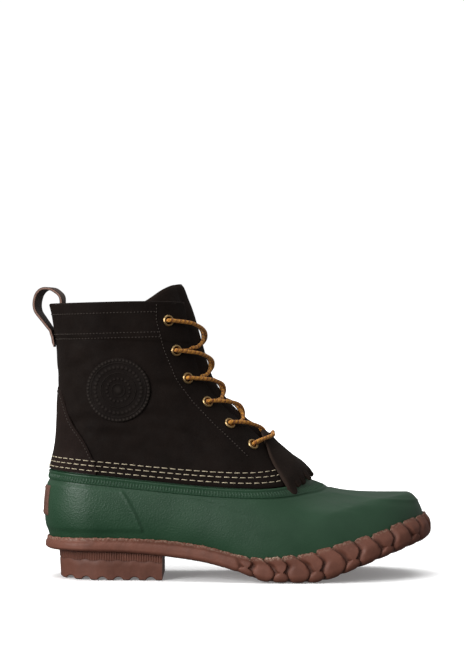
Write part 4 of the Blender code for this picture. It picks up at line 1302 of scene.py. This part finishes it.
def on_upper(side, x, z):
    """The t and level at which the shaft's surface passes x and z, in steps along its slopes."""
    t, level = np.full_like(x, 0.5), np.full_like(x, 0.5)
    e = 1e-4
    for _ in range(12):
        here = ring(t, side, level)
        by_t = (ring(t + e, side, level) - here) / e
        by_level = (ring(t, side, level + e) - here) / e
        miss_x, miss_z = x - here[..., 0], z - here[..., 2]
        det = by_t[..., 0] * by_level[..., 2] - by_level[..., 0] * by_t[..., 2]
        t = t + (miss_x * by_level[..., 2] - miss_z * by_level[..., 0]) / det
        level = level + (miss_z * by_t[..., 0] - miss_x * by_t[..., 2]) / det
    return t, level


def pierced(piece, holes):
    """Cuts the eyelets' holes through the leather and keeps the result as the mesh."""
    modifier = piece.modifiers.new("holes", "BOOLEAN")
    modifier.operation = "DIFFERENCE"
    modifier.solver = "EXACT"
    modifier.object = holes
    bpy.context.view_layer.update()
    done = bpy.data.meshes.new_from_object(piece.evaluated_get(bpy.context.evaluated_depsgraph_get()))
    piece.modifiers.clear()
    piece.data = done
    bpy.data.objects.remove(holes)


def make_upper(hide):
    foot = np.linspace(SEAM_LEVEL, THROAT_LEVEL, 16)
    round_foot = THROAT_LEVEL + 0.07 * (1 - np.cos(np.linspace(0, math.pi / 2, 9)[1:]))
    shaft = np.linspace(round_foot[-1], BAND - 0.002, 64)[1:]
    band = np.concatenate([BAND + 0.006 * np.linspace(0, 1, 5), np.linspace(BAND + 0.012, 0.992, 18)])
    levels = np.concatenate([foot, round_foot, shaft, band])
    near_edge = np.array([0.0, 0.0022, 0.005, 0.009])
    half = np.concatenate([np.linspace(0, 1, 92)[:-2], 1 - near_edge[::-1]])
    shares = np.concatenate([half[::-1], half[1:]])
    sides = np.array([LATERAL] * len(half) + [MEDIAL] * (len(half) - 1))
    edges = np.array([throat_edge(level) for level in levels])
    t = shares[None, :] * edges[:, None]
    level = np.broadcast_to(levels[:, None], t.shape)
    run = (1 - shares)[None, :] * 0.15
    open_edge = (levels > THROAT_LEVEL)[:, None]
    drop = np.where(open_edge, edge_drop(run, 0.0011, 0.0009), 0.0)
    foot_drop = edge_drop((levels - SEAM_LEVEL) * 0.13, 0.0008, 0.0006)[:, None]
    outer = leather_surface(t, sides[None, :], level, -drop - foot_drop)
    inner = raised(ring, t, sides[None, :], level, -UPPER_WALL + drop * 0.6)
    seamed = int(np.sum(levels <= THROAT_LEVEL)) - 1
    for line in (outer, inner):
        seam = line[: seamed + 1]
        seam[:, 0] = seam[:, -1] = (seam[:, 0] + seam[:, -1]) / 2

    # The collar's rolled lip joins the outer skin to the inner one.
    top_t = shares * throat_edge(1.0)
    top = ring(top_t, sides, np.full_like(top_t, 0.992))
    out = normals(ring, top_t, sides, np.full_like(top_t, 0.992))
    up = ring(top_t, sides, np.full_like(top_t, 1.0)) - top
    thick = UPPER_WALL + COLLAR_STEP
    lips = []
    for angle in np.linspace(0, math.pi, 8):
        across = (COLLAR_STEP - UPPER_WALL) / 2 + thick / 2 * math.cos(angle)
        lips.append(top + out * across + up * math.sin(angle) * 1.0)
    lips = np.array(lips)
    rows, columns = outer.shape[:2]
    vertices = np.concatenate([outer.reshape(-1, 3), inner.reshape(-1, 3), lips.reshape(-1, 3)])
    skin = cells(rows, columns)
    back = cells(rows, columns, start=rows * columns)
    over = cells(len(lips), columns, start=2 * rows * columns)
    last_outer, last_inner, first_lip = (rows - 1) * columns, (2 * rows - 1) * columns, 2 * rows * columns
    last_lip = first_lip + (len(lips) - 1) * columns
    joins = []
    for c in range(columns - 1):
        joins.append((last_outer + c, last_outer + c + 1, first_lip + c + 1, first_lip + c))
        joins.append((last_lip + c, last_lip + c + 1, last_inner + c + 1, last_inner + c))
        joins.append((c, c + 1, rows * columns + c + 1, rows * columns + c))
    for r in range(seamed, rows - 1):
        for c in (0, columns - 1):
            a, b = r * columns + c, (r + 1) * columns + c
            joins.append((a, b, b + rows * columns, a + rows * columns))
    for c in (0, columns - 1):
        lip = [first_lip + k * columns + c for k in range(len(lips))]
        joins.append((last_outer + c, *lip, last_inner + c))
    upper = make("upper_fine", vertices, skin + back + over + joins, hide, "shaft_leather", ["upper"])

    heap = Heap()
    for side in (LATERAL, MEDIAL):
        for row in range(len(EYELETS)):
            base, out, _, _ = eyelet_seat(row, side)
            reach = 2.2 * UPPER_WALL
            radius = EYELET_BORE + EYELET_WALL + 0.0002
            more, faces, _ = tube(np.array([base - out * reach, base + out * reach]), radius, 24)
            heap.put(more, faces)
    mesh = bpy.data.meshes.new("holes")
    vertices, faces = heap.all()
    mesh.from_pydata((vertices - (HEEL_CENTRE, 0, 0)).tolist(), [], faces)
    holes = bpy.data.objects.new("holes", mesh)
    bpy.context.collection.objects.link(holes)
    work = bmesh.new()
    work.from_mesh(mesh)
    bmesh.ops.recalc_face_normals(work, faces=work.faces)
    work.to_mesh(mesh)
    work.free()
    pierced(upper, holes)


def tongue_bulge(t, side, level):
    """How far the tongue stands out between the throat's edges."""
    gap = throat_half_gap(np.minimum(level, 1.0)) - TONGUE_MARGIN
    at = ring(t, side, level)
    across = (at[..., 1] - swing(at[..., 0])) / np.maximum(gap, TONGUE_MARGIN / 2)
    bulge = np.minimum(TONGUE_BULGE, 0.6 * gap)
    return np.where(gap < TONGUE_MARGIN / 2, 0.0, bulge * np.clip(1 - across**2, 0, 1))


def make_tongue(hide):
    v, q = np.meshgrid(np.linspace(0, 1, 56), np.linspace(-1, 1, 49), indexing="ij")
    rise_per_level = (ring(1.0, LATERAL, 1.0)[2] - ring(1.0, LATERAL, 0.9)[2]) / 0.1
    top = 1 + smooth(TONGUE_TOP, "behind", "rise", np.abs(q)) * TONGUE_RISE / rise_per_level
    level = TONGUE_START + v * (top - TONGUE_START)
    wrap = smooth(TONGUE_SIDES, "level", "wrap", level) * TONGUE_WRAP
    front = ring(np.ones_like(level), LATERAL, level)[..., 0]
    t = np.where(np.abs(q) < 1e-6, 1.0, t_at_x(level, front - wrap * q * q))
    side = np.where(q <= 0, LATERAL, MEDIAL)
    lean = TONGUE_LEAN * ease((level - 0.96) / 0.15)
    away = np.minimum((1 - np.abs(q)) * 0.05, (1 - v) * 0.12)
    drop = edge_drop(away, 0.0010, 0.0007)
    dent = 0.0005 * np.sin(level * 31 + q * 2.1) * bell(q, 0.5) * ease((level - 0.98) / 0.1)
    rise = -UPPER_WALL - 1.6 * GAP - lean + tongue_bulge(t, side, level) + dent
    at, out = ring(t, side, level), normals(ring, t, side, level)
    outer = at + out * (rise - drop)[..., None]
    inner = at + out * (rise - TONGUE_THICKNESS + drop)[..., None]
    edge = 0.55 * np.exp(-away / 0.0008)
    marks = {"edge": np.concatenate([edge.ravel(), edge.ravel()])}
    make("tongue_fine", *sheet(outer, inner), hide, "shaft_leather", ["tongue"], marks=marks)


def counter_top(reach):
    """The level of the counter's upper edge at a share of its reach."""
    return COUNTER_LEVEL * smooth(COUNTER_EDGE, "reach", "level", reach)


def counter_t(level, reach):
    back = ring(np.zeros_like(level), LATERAL, level)[..., 0]
    return np.where(reach < 1e-6, 0.0, t_at_x(level, back + COUNTER_REACH * np.maximum(reach, 0) ** 1.6))


def counter_thickness(share_up, reach):
    """The counter is skived thin towards its top at the back."""
    skived = 0.75 * (1 - ease((1 - share_up) / 0.22)) * (1 - ease(reach / 0.5))
    return COUNTER_THICKNESS * (1 - skived)


def make_counter(hide):
    inside = np.concatenate([np.linspace(0, 0.97, 44), [0.98, 0.988, 0.994, 1.0]])
    across = np.concatenate([-inside[::-1], inside[1:]])
    v, q = np.meshgrid(np.concatenate([np.linspace(0, 0.97, 34), [0.98, 0.99, 1.0]]), across, indexing="ij")
    level = SEAM_LEVEL + v * (counter_top(np.abs(q)) - SEAM_LEVEL)
    t = counter_t(level, np.abs(q))
    side = np.where(q <= 0, LATERAL, MEDIAL)
    at, out = ring(t, side, level), normals(ring, t, side, level)
    away = np.minimum((1 - np.abs(q)) * 0.060, (1 - v) * 0.05)
    outer = at + out * (GAP + counter_thickness(v, np.abs(q)) - edge_drop(away, 0.0009, 0.0009))[..., None]
    inner = at + out * (GAP * 0.3)
    make("heel_counter_fine", *sheet(outer, inner), hide, "shaft_leather", ["heel_counter"])


def kiltie_point(p, q, rise):
    """A point of the kiltie: p from its root to its tips, q from -1 to 1 across."""
    def column(name):
        return smooth(KILTIE, "along", name, p)

    half = KILTIE_WIDTH / 2
    x = column("ahead") * LENGTH - column("back") * half * q * q
    z = (KILTIE_ROOT - column("down")) * COLLAR_HEIGHT - column("drop") * half * np.abs(q) ** 2.2
    y = swing(x) + column("wide") * half * q
    return points(x + 0.74 * rise, y, z + 0.67 * rise)


def make_kiltie(hide):
    """The flap with its fringe: the strips part at the slits and curl at their tips."""
    slit_row = 18
    slits_from = 1 - KILTIE_FRINGE
    along = np.concatenate([np.linspace(0, slits_from, slit_row + 1), np.linspace(slits_from, 1, 17)[1:]])
    strip = 2.0 / KILTIE_STRIPS
    slit = 0.10 * strip
    across, gaps = [], []
    for k in range(KILTIE_STRIPS):
        low = -1 + k * strip + (slit / 2 if k else 0)
        high = -1 + (k + 1) * strip - (slit / 2 if k < KILTIE_STRIPS - 1 else 0)
        across += list(np.linspace(low, high, 7))
        gaps.append(len(across) - 1)
    gaps = set(gaps[:-1])
    p, q = np.meshgrid(along, np.array(across), indexing="ij")
    fringe = np.clip((p - slits_from) / KILTIE_FRINGE, 0, 1)
    number = np.clip(np.floor((q + 1) / strip), 0, KILTIE_STRIPS - 1)
    middle = -1 + (number + 0.5) * strip
    tip = np.abs(q - middle) / (strip / 2)
    lift = fringe**1.5 * (0.0011 * np.sin(number * 2.4 + 0.6) - 0.0012)
    cup = fringe * 0.0010 * (1 - tip**2)
    shorter = fringe * (0.05 * np.sin(number * 4.1 + 1.0) - 0.10 * tip**2)
    narrow = (q - middle) * -0.30 * fringe**1.5
    tucked = 0.0024 * (1 - ease(p / 0.16))
    wave = 0.0007 * np.sin(p * 7.0 + q * 3.0) * (1 - fringe) - tucked
    place_p = p + shorter * 0.6
    place_q = q + narrow
    away = np.minimum((1 - np.abs(q)) * 0.036, np.minimum(1 - p, p) * 0.042)
    away = np.where(fringe > 0, np.minimum(away, (1 - tip) * 0.0045), away)
    drop = edge_drop(away, 0.0009, 0.0006)
    outer = kiltie_point(place_p, place_q, KILTIE_THICKNESS + lift + cup + wave - drop)
    inner = kiltie_point(place_p, place_q, lift + cup * 0.8 + np.minimum(wave, wave * 0.3))
    edge = 0.7 * np.exp(-away / 0.0007)

    def missing(row, column):
        return row >= slit_row and column in gaps

    marks = {"edge": np.concatenate([edge.ravel(), edge.ravel()])}
    make("kiltie_fine", *sheet(outer, inner, missing), hide, "shaft_leather", ["kiltie"], marks=marks)


def make_loop(strap):
    collar = ring(0.0, LATERAL, 1.0)
    knots = np.linspace(0, 1, len(LOOP["behind"]))
    rows = {"at": knots, **LOOP}
    at = np.linspace(0, 1, 120)
    half = LOOP_THICKNESS / 2
    x = collar[0] - smooth(rows, "at", "behind", at) * LOOP_REACH
    z = collar[2] + smooth(rows, "at", "above", at) * LOOP_RISE
    back = ring(0.0, LATERAL, SAMPLES)
    hide = np.interp(z, back[:, 2], back[:, 0])
    inside = hide + UPPER_WALL + 2 * GAP + half + LOOP_CLEARANCE
    proud = COLLAR_STEP * ease((z - collar[2] + COLLAR_BAND) / 0.003)
    outside = hide - proud - GAP - half
    beside = z < collar[2] + half
    x = np.where(beside & (at < 0.5), np.maximum(x, inside), x)
    x = np.where(beside & (at > 0.5), np.minimum(x, outside), x)
    for line in (x, z):
        line[1:-1] = (line[:-2] + 2 * line[1:-1] + line[2:]) / 4
    run_x, run_z = np.gradient(x), np.gradient(z)
    run = np.hypot(run_x, run_z)
    # The strap's section, out along its face and back along its other face.
    wide = LOOP_WIDTH / 2
    section = [(-wide, 0.0), (-wide, 0.7), (-wide + 0.0005, 1.0)]
    section += [(y, 1.0) for y in np.linspace(-wide + 0.0015, wide - 0.0015, 11)]
    section += [(wide - 0.0005, 1.0), (wide, 0.7), (wide, 0.0), (wide, -0.7), (wide - 0.0005, -1.0)]
    section += [(y, -1.0) for y in np.linspace(wide - 0.0015, -wide + 0.0015, 11)]
    section += [(-wide + 0.0005, -1.0), (-wide, -0.7)]
    across = np.array([s[0] for s in section])
    rise = np.array([s[1] for s in section]) * half
    twist = LOOP_TWIST * np.sin(math.pi * at) ** 2
    rise = rise[None, :] * (1 - 0.75 * ease((at - 0.94) / 0.06))[:, None]
    px = (x[:, None] + (run_z / run)[:, None] * rise) + twist[:, None] * across[None, :]
    pz = z[:, None] - (run_x / run)[:, None] * rise
    grid = points(px, np.broadcast_to(across, px.shape), pz)
    middle = 1 - np.clip((np.abs(rise) / half - 0.30) / 0.35, 0, 1)
    edge = np.broadcast_to(np.clip((np.abs(across) - wide + 0.0009) / 0.0004, 0, 1) * middle, px.shape)
    faces = cells(len(at), len(section), closed=True)
    last = (len(at) - 1) * len(section)
    faces += [tuple(start + i for i in range(len(section))) for start in (0, last)]
    vertices, marks = grid.reshape(-1, 3), {"edge": edge}
    make("pull_loop_fine", vertices, faces, strap, "strap_leather", ["pull_loop"], marks=marks)


def make_patch(hide):
    """A round patch with a notched rim, plain rings and rows of beads."""
    sides = 288
    reach = np.concatenate([[0.02], np.linspace(0.06, 0.965, 74), [0.975, 0.985, 0.993, 1.0]])
    turn = np.linspace(0, 2 * math.pi, sides, endpoint=False)
    share, angle = np.meshgrid(reach, turn, indexing="ij")
    teeth = 1 + 0.016 * np.abs(np.mod(angle * 48 / (2 * math.pi), 1) - 0.5) * ease((share - 0.93) / 0.05)

    def ridge(at, width):
        return bell(share - at, width)

    height = 0.00042 * (ridge(0.86, 0.012) + ridge(0.545, 0.010)) + 0.0003 * ridge(0.50, 0.008)
    for at, beads, size in ((0.945, 52, 0.048), (0.72, 34, 0.060), (0.36, 18, 0.045)):
        beat = (np.mod(angle * beads / (2 * math.pi), 1) - 0.5) * 2 * math.pi / beads * at
        far = np.hypot(share - at, beat) / size
        height = np.maximum(height, 0.00050 * np.clip(1 - far**2, 0, 1) ** 0.6)
    height = np.maximum(height, 0.0005 * np.clip(1 - (share / 0.13) ** 2, 0, 1) ** 0.5)
    height = height + 0.00035 * ridge(0.21, 0.012)
    # Painted highlight: the tops of the raised beads and rings are paler, most on the notched rim.
    bead_highlight = np.clip(height / 0.0005, 0, 1) ** 3 * np.where(share > 0.9, 0.9, 0.4)
    x = PATCH_X + share * teeth * PATCH_RADIUS * np.cos(angle)
    z = PATCH_Z + share * teeth * PATCH_RADIUS * np.sin(angle)
    t, level = on_upper(LATERAL, x, z)
    rise = GAP + PATCH_THICKNESS + height - edge_drop((1 - share) * PATCH_RADIUS, 0.0007, 0.0005)
    outer = raised(ring, t, LATERAL, level, rise)
    inner = raised(ring, t[-1:], LATERAL, level[-1:], np.full_like(t[-1:], -0.0002))
    grid = np.concatenate([outer, inner])
    faces = cells(len(grid), sides, closed=True)
    faces.append(tuple(range(sides)))
    marks = {"edge": np.concatenate([bead_highlight, 0 * bead_highlight[-1:]])}
    vertices = grid.reshape(-1, 3)
    make("side_patch_fine", vertices, faces, hide, "shaft_leather", ["side_patch"], marks=marks, sharp=70)


def make_label(gum):
    """A plain rubber tab with a raised border on the back of the shell."""
    reach = share_at(np.abs(sole_plan(SAMPLES / 4, LATERAL)[1]), LABEL_WIDTH / 2) / 4
    across = np.linspace(-1, 1, 61)
    up = np.linspace(-1, 1, 47)
    heights = LABEL_MIDDLE + LABEL_HEIGHT / 2 * up
    away = np.minimum.outer((1 - np.abs(up)) * LABEL_HEIGHT / 2, (1 - np.abs(across)) * LABEL_WIDTH / 2)
    border = 0.0005 * bell(away - 0.0022, 0.0007) - edge_drop(away, 0.0009, 0.0009)

    height, q = np.meshgrid(heights, across, indexing="ij")
    side, t = np.where(q <= 0, LATERAL, MEDIAL), np.abs(q) * reach
    level = shell_level(t, side, height)
    outer = raised(shell, t, side, level, GAP + LABEL_THICKNESS + border)
    inner = raised(shell, t, side, level, np.full_like(t, GAP * 0.5))
    # The crease mark darkens the label by half and the flash mark pales it a little.
    marks = {"crease": np.full(2 * outer[..., 0].size, 0.5), "flash": np.full(2 * outer[..., 0].size, 0.12)}
    make("heel_label_fine", *sheet(outer, inner), gum, "gum_rubber", ["heel_label"], marks=marks)


# Stitching


def surface_row(t, side, level, rise):
    """A row's points on the shaft and the normals there."""
    t, level = np.asarray(t, float), np.asarray(level, float)
    return leather_surface(t, side, level, rise), normals(ring, t, side, level)


def level_at_height(t, side, height):
    """The level at which the shaft's line at t passes the height."""
    low, high = np.full(t.shape, -0.05), np.full(t.shape, 1.05)
    return halved(low, high, 24, lambda level: ring(t, side, level)[..., 2] < height)


def over_counter(t, side, level):
    """How far the counter stands proud of the shaft at a place, 0 away from it."""
    back = ring(np.zeros_like(t), side, level)[..., 0]
    x = ring(t, side, level)[..., 0]
    reach = (np.clip(x - back, 0, None) / COUNTER_REACH) ** (1 / 1.6)
    covered = (reach < 1) & (level < counter_top(np.clip(reach, 0, 1)))
    return np.where(covered, GAP + COUNTER_THICKNESS, 0.0)


def make_stitches(cream, dark):
    pale, plain = Heap(), Heap()
    for side in (LATERAL, MEDIAL):
        # Three rows above the rubber, closer together at the heel.
        t = np.linspace(0.0, 0.985, 500)
        seam = ring(t, side, SEAM_LEVEL)[..., 2]
        forward = ease(t / 0.55)
        for near, far in SEAM_ROWS:
            level = level_at_height(t, side, seam + near + (far - near) * forward)
            rise = over_counter(t, side, level)
            kept = t < np.where(level > THROAT_LEVEL, edge_t(level) - 0.02, 0.985)
            row, out = surface_row(t[kept], side, level[kept], rise[kept])
            stitches(pale, row, out, *CREAM_STITCH)
        # One row under the collar's edge and two at the band's foot.
        for below in COLLAR_ROWS:
            t = np.linspace(0.0, 0.93, 400)
            drop = ring(t, side, 1.0)[..., 2] - COLLAR_HEIGHT
            level = level_at_height(t, side, COLLAR_HEIGHT - below + drop)
            kept = t < facing_t(level)
            row, out = surface_row(t[kept], side, level[kept], 0.0)
            stitches(plain, row, out, *DARK_STITCH)
        # Behind the eyelets.
        level = np.linspace(0.985, 0.17, 300)
        row, out = surface_row(facing_t(level), side, level, 0.0)
        stitches(plain, row, out, *DARK_STITCH)
        # Inside the counter's edge.
        reach = np.linspace(0.05, 0.93, 160)
        level = SEAM_LEVEL + (counter_top(reach) - SEAM_LEVEL) * 0.955
        t = counter_t(level, np.maximum(reach - 0.03, 0.0))
        row = raised(ring, t, side, level, GAP + counter_thickness(0.955, reach))
        stitches(plain, row, normals(ring, t, side, level), *DARK_STITCH)
    make("seam_stitches", *pale.all(), cream, "lace", sharp=80)
    make("leather_stitches", *plain.all(), dark, "shaft_leather", sharp=80)


EDGE_LEVELS = np.linspace(THROAT_LEVEL, 1.0, 60)
EDGE_TS = np.array([throat_edge(level) for level in EDGE_LEVELS])
SEATS = [eyelet_seat(row, LATERAL) for row in range(len(EYELETS))][::-1]
SEAT_LEVELS = np.array([float(seat[3]) for seat in SEATS])
SEAT_XS = np.array([float(seat[0][0]) for seat in SEATS])


def edge_t(level):
    """The t of the throat's edge, by level."""
    return np.interp(level, EDGE_LEVELS, EDGE_TS)


def facing_t(level):
    """The t of the stitched line behind the eyelets, by level."""
    slope = (SEAT_XS[0] - SEAT_XS[1]) / (SEAT_LEVELS[0] - SEAT_LEVELS[1])
    below = np.minimum(level - SEAT_LEVELS[0], 0)
    x = np.interp(level, SEAT_LEVELS, SEAT_XS) + slope * below
    behind = 0.0092 + 0.0040 * ease((0.7 - level) / 0.4)
    return t_at_x(level, x - behind)


# Eyelets and lace


def make_eyelets(metal):
    barrel = EYELET_BORE + EYELET_WALL
    seat, top, rim = EYELET_SEAT * 0.5, EYELET_SEAT + EYELET_FLANGE, EYELET_RADIUS
    profile = [(EYELET_BORE, -UPPER_WALL), (barrel, -UPPER_WALL), (barrel, 0.0)]
    profile += [(rim - 0.0003, 0.0), (rim, seat)]
    profile += [(rim - 0.0001, seat + 0.0004), (rim - 0.0005, top - 0.0003), (rim - 0.0010, top)]
    profile += [(EYELET_BORE + 0.0008, top), (EYELET_BORE + 0.0003, top - 0.0003)]
    profile += [(EYELET_BORE, top - 0.0008)]
    for side, name in ((LATERAL, "lateral"), (MEDIAL, "medial")):
        for row in range(len(EYELETS)):
            base, out, _, _ = eyelet_seat(row, side)
            node = f"eyelet_{name}_{row + 1}"
            make(f"{node}_fine", *turned(profile, 40, base, out), metal, "eyelet_brass", [node], sharp=60)


def crossing(row, side):
    """A strand from one eyelet over the tongue and under the other edge, a row further down."""
    _, _, start_t, start_level = eyelet_seat(row, side)
    _, _, under_t, under_level = eyelet_seat(row + 1, -side)
    end_level = under_level + 0.02
    end_gap = throat_half_gap(float(end_level)) - LACE_RADIUS - LACE_MARGIN
    end_t = t_beside_middle(end_level, end_gap)
    over = EYELET_SEAT + EYELET_FLANGE + LACE_RADIUS + GAP + band_step(start_level)
    layer = 0.0006 if side == LATERAL else -0.0016
    path = []
    for w in np.linspace(0.18, 1, 12):
        level = start_level + (end_level - start_level) * float(ease(w))
        if w <= 0.5:
            t, here = start_t + (1 - start_t) * (w / 0.5), side
        else:
            t, here = 1 + (end_t - 1) * ((w - 0.5) / 0.5), -side
        hump = LACE_HUMP * math.sin(math.pi * min(w / 0.8, 1)) ** 2 * (-0.45 if row == 4 else 1)
        cross = layer * math.exp(-(((w - 0.5) / 0.22) ** 2))
        rise = over + hump + cross - (over + LACE_TUCK) * float(ease((w - 0.6) / 0.4))
        path.append(raised(ring, t, here, level, rise))
    tuck = []
    for q in (0.35, 0.75):
        t = end_t + (under_t - end_t) * q
        tuck.append(raised(ring, t, -side, end_level + (under_level - end_level) * q, -UPPER_WALL * 0.62))
    return path, tuck


def through(row, side):
    """The lace as it comes up through an eyelet and bends over its rim."""
    base, out, _, _ = eyelet_seat(row, side)
    top = EYELET_SEAT + EYELET_FLANGE
    return [base + out * rise for rise in (-(UPPER_WALL + 0.0004), top * 0.4, top + LACE_RADIUS * 0.7)]


def bar_path():
    """The lowest strand, from the last eyelet on each side up over the kiltie."""
    across = np.linspace(-0.6, 0.6, 7)
    middle = kiltie_point(BAR_ALONG, across, KILTIE_THICKNESS + LACE_RADIUS + 3 * GAP)
    ends = []
    over = EYELET_SEAT + EYELET_FLANGE + LACE_RADIUS + 2 * GAP
    for side, rows in ((LATERAL, middle), (MEDIAL, middle[::-1])):
        base, out, _, _ = eyelet_seat(len(EYELETS) - 1, side)
        end = base + out * over
        toward = rows[0] - end
        toward -= out * np.dot(toward, out)
        ends.append(end + toward / np.linalg.norm(toward) * EYELET_RADIUS)
    return [ends[0], *middle, ends[1]]


def make_lace(cord):
    """One lace: down from the top eyelets on each side and across over the kiltie."""
    last = len(EYELETS) - 1

    def down(side):
        path = []
        for row in range(last):
            here = side if row % 2 == 0 else -side
            strand, tuck = crossing(row, here)
            path += through(row, here) + strand + tuck
        path += through(last, side if last % 2 == 0 else -side)
        return path, (side if last % 2 == 0 else -side)

    first, first_end = down(LATERAL)
    second, _ = down(MEDIAL)
    bar = bar_path()
    bar = bar if first_end == LATERAL else bar[::-1]
    path = rounded_path(first + bar + second[::-1], 0.0007)
    vertices, faces, uvs = tube(path, LACE_RADIUS, 16, 0.0013)
    nodes = [f"lace_cross_{row + 1}" for row in range(last)] + ["lace_bar"]
    make("lace_fine", vertices, faces, cord, "lace", nodes, uvs=uvs, sharp=80)


# Camera, floor and light


def make_stage():
    camera_data = bpy.data.cameras.new("camera")
    camera_data.lens = CAMERA_LENS
    camera_data.sensor_width = CAMERA_SENSOR
    camera = bpy.data.objects.new("camera", camera_data)
    camera.location = CAMERA_AT
    camera.rotation_euler = (math.pi / 2, 0, 0)
    bpy.context.collection.objects.link(camera)
    bpy.context.scene.camera = camera

    # The floor takes the boot's shadow but throws no light back on it.
    reach, sides = FLOOR_REACH, 48
    mesh = bpy.data.meshes.new("floor")
    turns = [2 * math.pi * k / sides for k in range(sides)]
    rim = [(reach * math.cos(a), reach * math.sin(a), -0.0002) for a in turns]
    mesh.from_pydata(rim, [], [tuple(range(sides))])
    mesh.materials.append(floor_look())
    floor = bpy.data.objects.new("floor", mesh)
    mesh = bpy.data.meshes.new("backdrop")
    work = bmesh.new()
    bmesh.ops.create_uvsphere(work, u_segments=sides, v_segments=sides // 2, radius=reach)
    work.to_mesh(mesh)
    work.free()
    mesh.materials.append(backdrop_look())
    backdrop = bpy.data.objects.new("backdrop", mesh)
    backdrop.visible_shadow = False
    for staged in (floor, backdrop):
        bpy.context.collection.objects.link(staged)
        staged.visible_diffuse = False
        staged.visible_glossy = False
        staged.visible_transmission = False

    # The room is bright overhead and dim from below.
    world = bpy.data.worlds.new("studio")
    world.use_nodes = True
    tree = world.node_tree
    direction = add(tree, "ShaderNodeTexCoord").outputs["Generated"]
    up = add(tree, "ShaderNodeSeparateXYZ", {0: direction}).outputs["Z"]
    room = between(tree, up, -0.35, 0.55, 0.12, 0.46)
    tree.links.new(room, tree.nodes["Background"].inputs["Strength"])
    tree.nodes["Background"].inputs["Color"].default_value = (1, 1, 1, 1)
    bpy.context.scene.world = world
    bpy.context.scene.view_settings.view_transform = "Standard"

    only_floor = bpy.data.collections.new("only_floor")
    only_floor.objects.link(floor)
    for name, spot, size, power in LAMPS:
        data = bpy.data.lights.new(name, "AREA")
        data.shape = "SQUARE"
        data.size = size
        data.energy = power
        lamp = bpy.data.objects.new(name, data)
        if name == LAMPS[-1][0]:
            lamp.light_linking.receiver_collection = only_floor
        lamp.location = spot
        aim = Vector(LAMPS_AIM) - Vector(spot)
        lamp.rotation_euler = aim.to_track_quat("-Z", "Y").to_euler()
        bpy.context.collection.objects.link(lamp)


def main():
    make_stage()
    hide = leather("shaft_leather_look", *HIDE)
    stamped = leather("patch_leather_look", *STAMPED, edge=PATCH_HIGHLIGHT)
    counter_hide = leather("counter_leather_look", *COUNTER_HIDE)
    flap = leather("flap_leather_look", *FLAP, edge=FLAP_EDGE)
    green = rubber("green_rubber_look", *GREEN, GREEN_ROUGHNESS, GREEN_GRAIN, *GRAIN_FADES)
    gum = gum_rubber()
    make_outsole(gum)
    make_shell(green)
    make_insole(lining())
    make_upper(hide)
    make_tongue(flap)
    make_counter(counter_hide)
    make_kiltie(flap)
    make_loop(strap_leather())
    make_patch(stamped)
    make_label(gum)
    make_eyelets(brass())
    make_lace(lace_cord())
    make_stitches(thread("cream_thread_look", CREAM_THREAD), thread("dark_thread_look", DARK_THREAD))


main()
